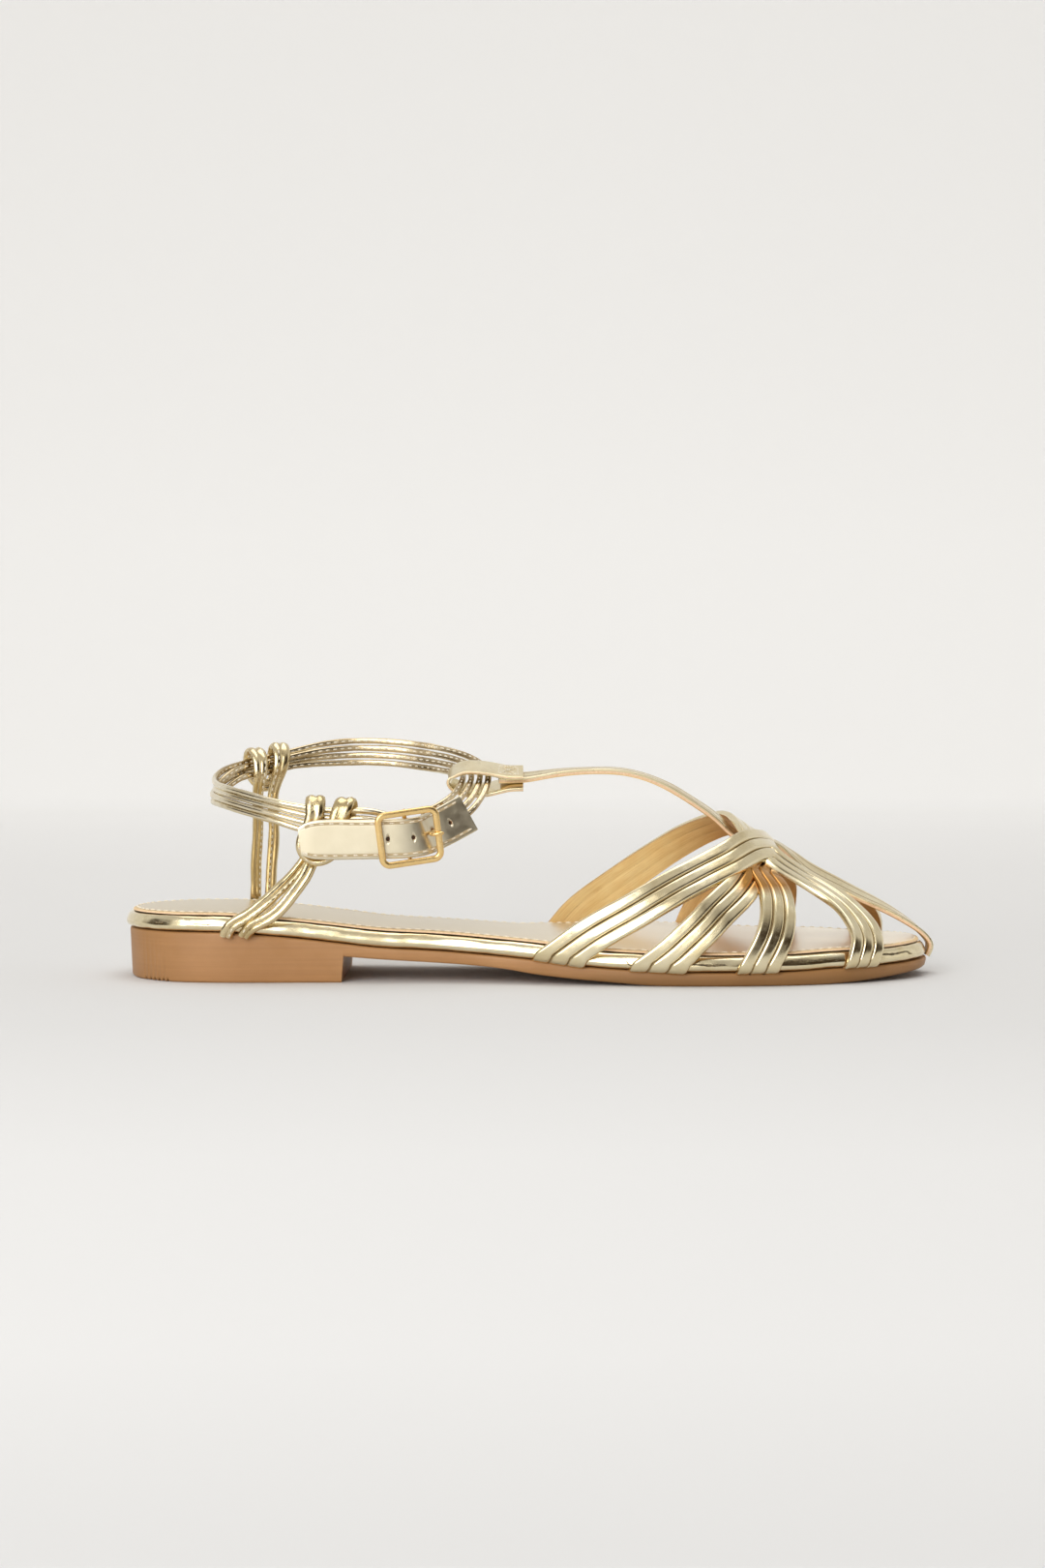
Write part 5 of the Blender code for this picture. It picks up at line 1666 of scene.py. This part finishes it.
# %% Routes of the risers
# Route: place, degrees that the strip's face has turned from outwards, width.
RISERS = {
    "riser_lateral": {
        "outwards": (0.0, -1.0, 0.0),
        "route": [
            (-91.6, -30.1, 14.3, -50, 3.9), (-90.2, -31.4, 17.2, 0, 3.9),
            (-86.2, -31.4, 19.8, 0, 3.9), (-81.8, -30.7, 22.9, 0, 3.9),
            (-75.3, -28.4, 28.6, 0, 3.9), (-69.8, -26.2, 34.3, 0, 3.9),
            (-67.0, -25.2, 38.6, 0, 4.0), (-65.6, -24.8, 44.0, 0, 4.4),
            (-64.9, -24.9, 50.0, 0, 5.0), (-64.6, -25.6, 54.0, -45, 5.5),
            (-64.6, -28.0, 55.9, -90, 5.8), (-64.7, -30.4, 54.2, -135, 5.8),
            (-65.0, -31.2, 50.0, -180, 5.4), (-67.0, -31.2, 45.5, -180, 4.6),
            (-68.4, -31.3, 42.0, -180, 4.0), (-67.2, -31.4, 38.9, -180, 4.0),
            (-63.6, -31.4, 37.5, -180, 4.0), (-59.8, -31.4, 39.6, -180, 4.4),
            (-58.5, -31.4, 44.0, -180, 5.0), (-57.5, -31.4, 49.6, -180, 5.8),
            (-56.2, -30.6, 53.6, -135, 6.0), (-55.4, -28.4, 55.3, -90, 6.0),
            (-54.8, -26.2, 53.4, -45, 5.6), (-56.2, -25.3, 49.4, 0, 5.0),
            (-59.2, -25.3, 45.4, 0, 4.4), (-61.8, -26.1, 41.2, 0, 3.9),
            (-65.6, -28.0, 36.7, 0, 3.9), (-67.3, -28.9, 33.2, 0, 3.9),
            (-70.6, -30.1, 28.2, 0, 3.9), (-74.4, -31.1, 23.4, 0, 3.9),
            (-79.5, -31.4, 19.4, 0, 3.9), (-84.0, -31.4, 16.9, 0, 3.9),
            (-86.2, -30.1, 14.2, -50, 3.9),
        ],
    },
    "riser_medial": {
        "outwards": (-0.47, 0.88, 0.0),
        "route": [
            (-88.4, 29.7, 13.9, -50, 3.8), (-88.8, 31.2, 17.6, 0, 3.8),
            (-88.7, 31.0, 22.0, 0, 3.8), (-88.2, 27.6, 33.0, 0, 3.8),
            (-87.0, 22.2, 46.0, 0, 3.7), (-86.4, 16.5, 56.0, 0, 3.8),
            (-85.4, 14.2, 61.6, 0, 4.4), (-85.6, 15.2, 66.4, -25, 5.2),
            (-87.6, 19.0, 69.4, -90, 5.6), (-89.2, 22.5, 67.0, -155, 5.4),
            (-89.2, 22.7, 62.5, -180, 4.6), (-87.6, 22.8, 59.4, -180, 4.0),
            (-85.0, 24.4, 57.9, -180, 4.0), (-82.5, 26.2, 59.5, -180, 4.0),
            (-82.0, 26.5, 63.0, -180, 4.8), (-81.9, 26.4, 67.6, -155, 5.6),
            (-80.2, 22.8, 70.9, -90, 5.8), (-79.0, 19.6, 67.5, -25, 5.6),
            (-79.8, 18.9, 62.5, 0, 4.6), (-81.8, 20.0, 56.0, 0, 3.8),
            (-82.2, 24.8, 46.0, 0, 3.8), (-83.2, 28.6, 33.0, 0, 3.8),
            (-83.9, 31.0, 22.0, 0, 3.8), (-84.0, 31.1, 17.6, 0, 3.8),
            (-84.2, 29.6, 13.9, -50, 3.8),
        ],
    },
}
print("risers:", ", ".join(RISERS))

# %% [markdown]
# ### Two strips sewn as one
# The doubled strip has a waist along its middle, between two rolled lobes. Joining two
# tubes would give the same look and a slit; one section with a waist stays closed.

# %% Risers
RISER_THICKNESS = 1.9
RISER_SECTIONS = 300
RISER_SIDES = 28


def riser_section(width):
    """Two rolled strips side by side, outer and inner face."""
    w, t = width / 2, RISER_THICKNESS / 2
    out = []
    for step in range(RISER_SIDES):
        a = 2 * math.pi * step / RISER_SIDES
        u = w * math.copysign(abs(math.cos(a)) ** 0.8, math.cos(a))
        lobe = 0.5 + 0.5 * abs(math.sin(math.pi * u / w)) ** 0.7
        out.append((u, t * math.copysign(abs(math.sin(a)) ** 0.6, math.sin(a)) * lobe))
    return out


def build_riser(name, plan):
    rows = spline(plan["route"], RISER_SECTIONS)
    facing = np.radians(rows[:, 3])[:, None]
    normals = (np.cos(facing) * np.array(plan["outwards"])
               + np.sin(facing) * np.array([0.0, 0.0, 1.0]))
    riser = swept_piece(f"{name}_strips", rows[:, :3], normals,
                        [riser_section(width) for width in rows[:, 4]], [riser_foil])
    dent(riser, 0.12, (5, 5, 5), len(name) * 1.3)
    dent(riser, 0.06, (1.8, 1.8, 1.8), len(name) * 3.3)
    wear(riser, "foil_leather", name)
    along = heading(rows[:, :3])
    normals = square_to(normals, along)
    side = np.cross(normals, along)
    for label, shift, sign in (("inner", 0.5, -1.0), ("outer", -0.5, 1.0)):
        line = (rows[:, :3] + side * (shift * rows[:, 4:5] / 2)
                + normals * (sign * RISER_THICKNESS * 0.48))
        wear(stitches(f"{name}_stitches_{label}", line, normals * sign, pale_thread,
                      length=1.3, gap=0.8, width=0.4, height=0.28), "foil_leather")


for name, plan in RISERS.items():
    build_riser(name, plan)

# %% [markdown]
# ## The tab of the T-strap
# A short wide strip is folded round the front of the ankle cords, and its two raw
# ends are sewn over the end of the T-strap. Both the fold and its seams follow one
# line, drawn from the side as a small loop.

# %% Line of the tab
TAB_WIDTH = 11.0
TAB_THICKNESS = 1.1
TAB_ROLL = 18                          # degrees, as the end of the T-strap
TAB_SECTIONS = 90
TAB_UPPER_SECTIONS = 30                # those of its upper leaf
# x, z.
TAB_FOLD = [
    (-2.2, 62.7), (-7, 62.8), (-12, 63.7), (-17.5, 64.3), (-22.8, 63.4), (-25.0, 60.9),
    (-22.8, 58.3), (-17.5, 57.2), (-12, 57.7), (-7, 58.9), (-2.2, 59.2),
]


def tab_line():
    points = spline([(x, 0.0, z) for x, z in TAB_FOLD], TAB_SECTIONS)
    return points, rolled_normals(points, np.full(len(points), TAB_ROLL))


print("the tab's fold is", round(-TAB_FOLD[5][0] + TAB_FOLD[0][0], 1), "mm deep")

# %% [markdown]
# ### The sewn box
# A box with a cross in it is the usual seam where a strap takes the pull. Its six
# seams only need the tab's line: each corner has a distance from the tab's end and one
# from its middle. Drawn as a texture they would lie flat; as thread they stand up.

# %% Box seams
# Corners of the box: distance from the tab's end, and from its middle.
BOX_CORNERS = [(1.6, -3.6), (7.6, -3.6), (7.6, 3.6), (1.6, 3.6)]
BOX_SEAMS = [(0, 1), (1, 2), (2, 3), (3, 0), (0, 2), (1, 3)]


def tab_place(back, aside):
    """A place on the tab's upper face, and the way that the face looks there."""
    points, normals = tab_line()
    upper = points[:TAB_UPPER_SECTIONS]
    at = np.interp(back, upper[0, 0] - upper[:, 0], np.arange(len(upper)))
    index = int(round(at))
    normal = unit(normals[index]) * (1.0 if normals[index][2] > 0 else -1.0)
    side = unit(np.cross(normal, upper[index + 1] - upper[index]))
    return upper[index] + normal * (TAB_THICKNESS / 2) + side * aside, normal


for number, (first, last) in enumerate(BOX_SEAMS):
    ends = [tab_place(*BOX_CORNERS[k]) for k in (first, last)]
    wear(stitches(f"t_tab_stitches_{number + 1}", [e[0] for e in ends], [e[1] for e in ends],
                  pale_thread, length=1.1, gap=0.35, width=0.34, height=0.3), "foil_leather")

# %% [markdown]
# ### The fold of the tab
# The tab itself is a flat section swept round the loop, which is simpler than bending
# a plate, and keeps its thickness all the way round.

# %% T-strap tab
def build_t_tab():
    points, normals = tab_line()
    section, zones = flat_section(TAB_WIDTH, TAB_THICKNESS, 0.25)
    tab = swept_piece("t_tab_fold", points, normals, section,
                      [gold_foil, soft_foil, peach_edge], zones=zones)
    dent(tab, 0.12, (7, 7, 7), 9.1)
    wear(tab, "foil_leather", "t_tab")


build_t_tab()

# %% [markdown]
# ## The buckle strap
# A flat strap folded and sewn along both edges, with four punched holes. It bends
# inwards behind the front bar of the buckle and its tip rises towards the tab.

# %% Run of the buckle strap
HOLE_PITCH = 7.5
FIRST_HOLE_X = -42.6
# x, y, z, width.
BILLET = [
    (-69.0, -33.6, 43.0, 8.6), (-66.5, -33.7, 43.3, 10.8), (-63.0, -33.7, 43.5, 11.9),
    (-52.0, -33.6, 43.6, 11.9), (-42.0, -33.5, 43.8, 11.9), (-36.0, -33.1, 44.1, 11.9),
    (-32.2, -31.7, 44.7, 11.9), (-29.7, -28.2, 45.6, 11.9), (-26.2, -24.7, 47.2, 11.9),
    (-19.0, -20.8, 51.0, 11.9),
]


def billet_line(count=110):
    """Middle line of the strap, its outward directions and its widths."""
    rows = spline(BILLET, count)
    points = rows[:, :3]
    outwards = np.tile((0.0, -1.0, 0.0), (count, 1))
    return points, square_to(outwards, heading(points)), rows[:, 3]


def billet_hole(index):
    """Centre and outward direction of a hole of the buckle strap."""
    points, normals, _ = billet_line(24)
    far = distances(points)
    at = np.interp(FIRST_HOLE_X, points[:, 0], far) + index * HOLE_PITCH
    return read_line(points, far, at), unit(read_line(normals, far, at))


print("first hole at", np.round(billet_hole(0)[0], 1), "mm")

# %% [markdown]
# ### Cutting and joining
# The holes are cut with a boolean modifier, the surest way to get a clean hole in a
# thin skin; the buckle's bar is joined to its ring in the same way. The result is
# taken over into the mesh at once, so no modifier is left that needs the other shape.

# %% Cutting and joining
def boolean(target, other, operation):
    """Cut or join `other` into `target`, and take the other shape away."""
    step = target.modifiers.new(operation.lower(), "BOOLEAN")
    step.operation = operation
    step.solver = "EXACT"
    step.object = other
    depsgraph = bpy.context.evaluated_depsgraph_get()
    result = bpy.data.meshes.new_from_object(target.evaluated_get(depsgraph))
    target.modifiers.clear()
    target.data = result
    bpy.data.objects.remove(other)


print("a tool that cuts or joins is ready")

# %% [markdown]
# ### Making the buckle strap
# The strap is swept, then punched hole by hole. The hole of the prong is wider and
# stays open; the others get a core of painted shade. Channels of painted shade and
# stitches follow both edges.

# %% Buckle strap
BILLET_THICKNESS = 1.7
HOLE_DIAMETER = 1.3
HOLE_COUNT = 4
PRONG_HOLE = 2
PRONG_WIRE = 1.1
CORE_SPARE = 0.08                      # how much a dark core is wider than its hole
SEAM_INSET = 1.25
CHANNEL_WIDTH = 0.95
SEAM_BEAD = 0.16
SEAM_ENDS = 4                          # places without a channel at each end
PRONG_PLAY = 3.2                       # room round the prong, in gaps


def peg(name, ends, width, finish):
    """A round peg, to punch a hole or to fill one."""
    return swept_piece(name, ends, (0, 0, 1), round_section(width, width, 16), [finish])


def build_billet():
    points, normals, heights = billet_line()
    sections = [flat_section(height, BILLET_THICKNESS, 0.5)[0] for height in heights]
    zones = flat_section(1.0, BILLET_THICKNESS, 0.5)[1]
    strap = swept_piece("buckle_strap", points, normals, sections, [satin_foil, lining, cut_edge],
                        zones=zones)
    for index in range(HOLE_COUNT):
        centre, normal = billet_hole(index)
        width = HOLE_DIAMETER if index != PRONG_HOLE else PRONG_WIRE + PRONG_PLAY * GAP
        cutter = peg("hole", (centre - normal * 2, centre + normal * 2), width, cut_edge)
        boolean(strap, cutter, "DIFFERENCE")
        # Each hole but the prong's gets a core of painted shade.
        if index != PRONG_HOLE:
            core = (centre - normal * 0.7, centre + normal * 0.3)
            wear(peg(f"hole_shade_core_{index + 1}", core, width + CORE_SPARE, hole_dark),
                 "foil_leather")
    wear(strap, "foil_leather", "billet")
    up = np.cross(np.gradient(points, axis=0), normals)
    up = unit(up * np.sign(up[:, 2:3]))
    for label, sign in (("top", 1), ("bottom", -1)):
        line = (points + up * (sign * (heights[:, None] / 2 - SEAM_INSET))
                + normals * (BILLET_THICKNESS * 0.49))
        inner = slice(SEAM_ENDS, -SEAM_ENDS)
        channel(f"buckle_strap_channel_shade_{label}", line[inner], normals[inner], CHANNEL_WIDTH,
                SEAM_BEAD, "foil_leather")
        wear(stitches(f"buckle_strap_stitches_{label}", line, normals, pale_thread,
                      length=2.0, gap=1.0, width=0.5, height=0.36), "foil_leather")


build_billet()

# %% [markdown]
# ## The buckle
# A rounded frame of flat wire with a bar across its middle that stands behind it. The
# frame hangs a little askew on the strap, so all its parts are placed by its own
# three directions. A bevelled curve could be the ring; the section swept by hand
# keeps its corners even, and a boolean joins the bar to it.

# %% Outline of the buckle
FRAME_WIDTH = 19.6
FRAME_HEIGHT = 17.1
FRAME_WIRE = 2.0
FRAME_CORNER = 3.2
FRAME_CENTRE = (-36.2, -34.3, 44.3)
FRAME_YAW = 10                         # degrees, and so are the next two
FRAME_ROLL = -8
FRAME_LEAN = 4
WIRE_SIDES = 16
WIRE_ROUNDNESS = 0.62                  # 1 is round, less is squarer


def frame_axes():
    """Directions of the buckle frame: along the strap, up, and out of it."""
    yaw, roll, lean = (math.radians(v) for v in (FRAME_YAW, FRAME_ROLL, FRAME_LEAN))
    level = np.array([math.cos(yaw), math.sin(yaw), 0.0])
    outwards = np.array([math.sin(yaw), -math.cos(yaw), 0.0])
    upright = math.cos(lean) * np.array([0.0, 0.0, 1.0]) + math.sin(lean) * outwards
    out = math.cos(lean) * outwards - math.sin(lean) * np.array([0.0, 0.0, 1.0])
    along = level * math.cos(roll) - upright * math.sin(roll)
    up = level * math.sin(roll) + upright * math.cos(roll)
    return along, up, out


def rounded_rectangle(width, height, corner, arc_steps):
    points = []
    for cx, cy, start in ((1, 1, 0), (-1, 1, 90), (-1, -1, 180), (1, -1, 270)):
        for k in range(arc_steps + 1):
            a = math.radians(start + 90 * k / arc_steps)
            points.append((cx * (width / 2 - corner) + corner * math.cos(a),
                           cy * (height / 2 - corner) + corner * math.sin(a)))
    return points


def wire_section(width, depth):
    """Between round and square, as flattened wire is."""
    out = []
    for k in range(WIRE_SIDES):
        a = 2 * math.pi * k / WIRE_SIDES
        u = math.copysign(abs(math.cos(a)) ** WIRE_ROUNDNESS, math.cos(a))
        v = math.copysign(abs(math.sin(a)) ** WIRE_ROUNDNESS, math.sin(a))
        out.append((width / 2 * u, depth / 2 * v))
    return out


print("the frame looks towards", np.round(frame_axes()[2], 2))

# %% [markdown]
# ### Ring and bar
# The wire section is carried round the outline of the ring. The bar leaves the ring at
# its top, stands behind it and comes back at its bottom, and a boolean joins the two.

# %% Buckle frame
CENTRE_BAR_RADIUS = 0.7
CENTRE_BAR_DEPTH = 6.0
CENTRE_BAR_BEND = 1.1                  # how far from its ends the bar is bent
CORNER_STEPS = 8
WIRE_FLAT = 0.95                       # depth of the wire for its width


def build_buckle_frame():
    along, up, out = frame_axes()
    centre = np.array(FRAME_CENTRE)
    middle = rounded_rectangle(FRAME_WIDTH - FRAME_WIRE, FRAME_HEIGHT - FRAME_WIRE,
                               FRAME_CORNER - FRAME_WIRE / 2, CORNER_STEPS)
    section = wire_section(FRAME_WIRE, FRAME_WIRE * WIRE_FLAT)
    verts = []
    n = len(middle)
    for i, (u, v) in enumerate(middle):
        step = unit(np.array(middle[(i + 1) % n]) - np.array(middle[i - 1]))
        outwards = np.array([step[1], -step[0]])
        for du, dv in section:
            p = np.array([u, v]) + outwards * du
            verts.append(centre + along * p[0] + up * p[1] + out * dv)
    ring = mesh_piece("buckle_ring", verts, tube_faces(n, WIRE_SIDES, closed=True), [buckle_gold],
                      sharp=80)
    reach = FRAME_HEIGHT / 2 - FRAME_WIRE / 2
    bent = reach - CENTRE_BAR_BEND
    back = -CENTRE_BAR_DEPTH
    route = [(0, reach, 0), (0, reach, back * 0.7), (0, bent, back), (0, 0, back),
             (0, -bent, back), (0, -reach, back * 0.7), (0, -reach, 0)]
    bar_line = [centre + along * a + up * b + out * c for a, b, c in route]
    bar_section = round_section(2 * CENTRE_BAR_RADIUS, 2 * CENTRE_BAR_RADIUS, 12)
    boolean(ring, swept_piece("bar", bar_line, along, bar_section, [buckle_gold]), "UNION")
    wear(ring, "buckle_metal", "buckle_frame")


build_buckle_frame()

# %% [markdown]
# ### The prong
# A wire is bent round the bar, goes through the third hole and rests on the front of
# the ring. It is written as a route from the bar to the tip, so it meets the hole
# wherever the strap has it.

# %% Prong
PRONG_SECTIONS = 90


def bar_centre():
    return np.array(FRAME_CENTRE) - frame_axes()[2] * CENTRE_BAR_DEPTH


def build_buckle_prong():
    along, up, out = frame_axes()
    ring = CENTRE_BAR_RADIUS + GAP + PRONG_WIRE / 2
    # Round the bar, through the hole, forwards and down on the front of the ring.
    route = [bar_centre() + ring * (along * math.cos(a) + out * math.sin(a))
             for a in np.radians(np.linspace(20, -250, 7))]
    hole, normal = billet_hole(PRONG_HOLE)
    rest = FRAME_WIRE / 2 + GAP + PRONG_WIRE / 2
    bar_middle = np.array(FRAME_CENTRE) + along * (FRAME_WIDTH - FRAME_WIRE) / 2
    route += [hole - normal * 0.8, hole + normal * 0.8, bar_middle - along * 2.1 + out * 0.7,
              bar_middle - along * 0.5 + out * rest, bar_middle + along * 1.6 + out * rest * 0.8]
    rows = spline(route, PRONG_SECTIONS)
    far = np.linspace(0, 1, len(rows))
    taper = np.clip((1 - far) / 0.02, 0.35, 1.0)         # a blunt tip
    sections = [round_section(PRONG_WIRE * t, PRONG_WIRE * t, 12) for t in taper]
    prong = swept_piece("buckle_pin", rows, up, sections, [buckle_gold], sharp=80)
    wear(prong, "buckle_metal", "buckle_prong")


build_buckle_prong()

# %% [markdown]
# ### The strip behind the buckle
# A short strip is folded round the bar and holds the buckle to the ankle cords. A slot
# in its fold lets the prong through, and a boolean with a plain box cuts it.

# %% Strip of the buckle
BUCKLE_TAB_WIDTH = 8.5
BUCKLE_TAB_THICKNESS = 0.9
BUCKLE_TAB_LENGTH = 7.0
BUCKLE_TAB_SECTIONS = 60


def build_buckle_tab():
    along, up, out = frame_axes()
    bar = bar_centre()
    ring = CENTRE_BAR_RADIUS + GAP + BUCKLE_TAB_THICKNESS / 2
    inwards = unit(along - 1.2 * out)
    side = unit(out + 0.83 * along)
    fold = [bar + inwards * BUCKLE_TAB_LENGTH + side * 0.6, bar + inwards * 4.0 + side * 0.8]
    fold += [bar + ring * (inwards * math.cos(a) + side * math.sin(a))
             for a in np.radians((75, 130, 180, 230, 285))]
    fold += [bar + inwards * 4.0 - side * 0.8, bar + inwards * BUCKLE_TAB_LENGTH - side * 0.6]
    points = spline(fold, BUCKLE_TAB_SECTIONS)
    normals = np.cross(np.gradient(points, axis=0), up)
    section, zones = flat_section(BUCKLE_TAB_WIDTH, BUCKLE_TAB_THICKNESS, 0.2)
    tab = swept_piece("buckle_keeper", points, normals, section,
                      [soft_foil, soft_foil, cut_edge], zones=zones)
    slot = PRONG_WIRE + 4 * GAP
    corners = [bar + along * a + up * b + out * c
               for a in (-4.0, 2.6) for b in (-slot / 2, slot / 2) for c in (-3.0, 3.0)]
    box = [(0, 1, 3, 2), (4, 6, 7, 5), (0, 4, 5, 1), (2, 3, 7, 6), (0, 2, 6, 4), (1, 5, 7, 3)]
    boolean(tab, mesh_piece("slot", corners, box, [cut_edge]), "DIFFERENCE")
    wear(tab, "foil_leather", "buckle_tab")


build_buckle_tab()
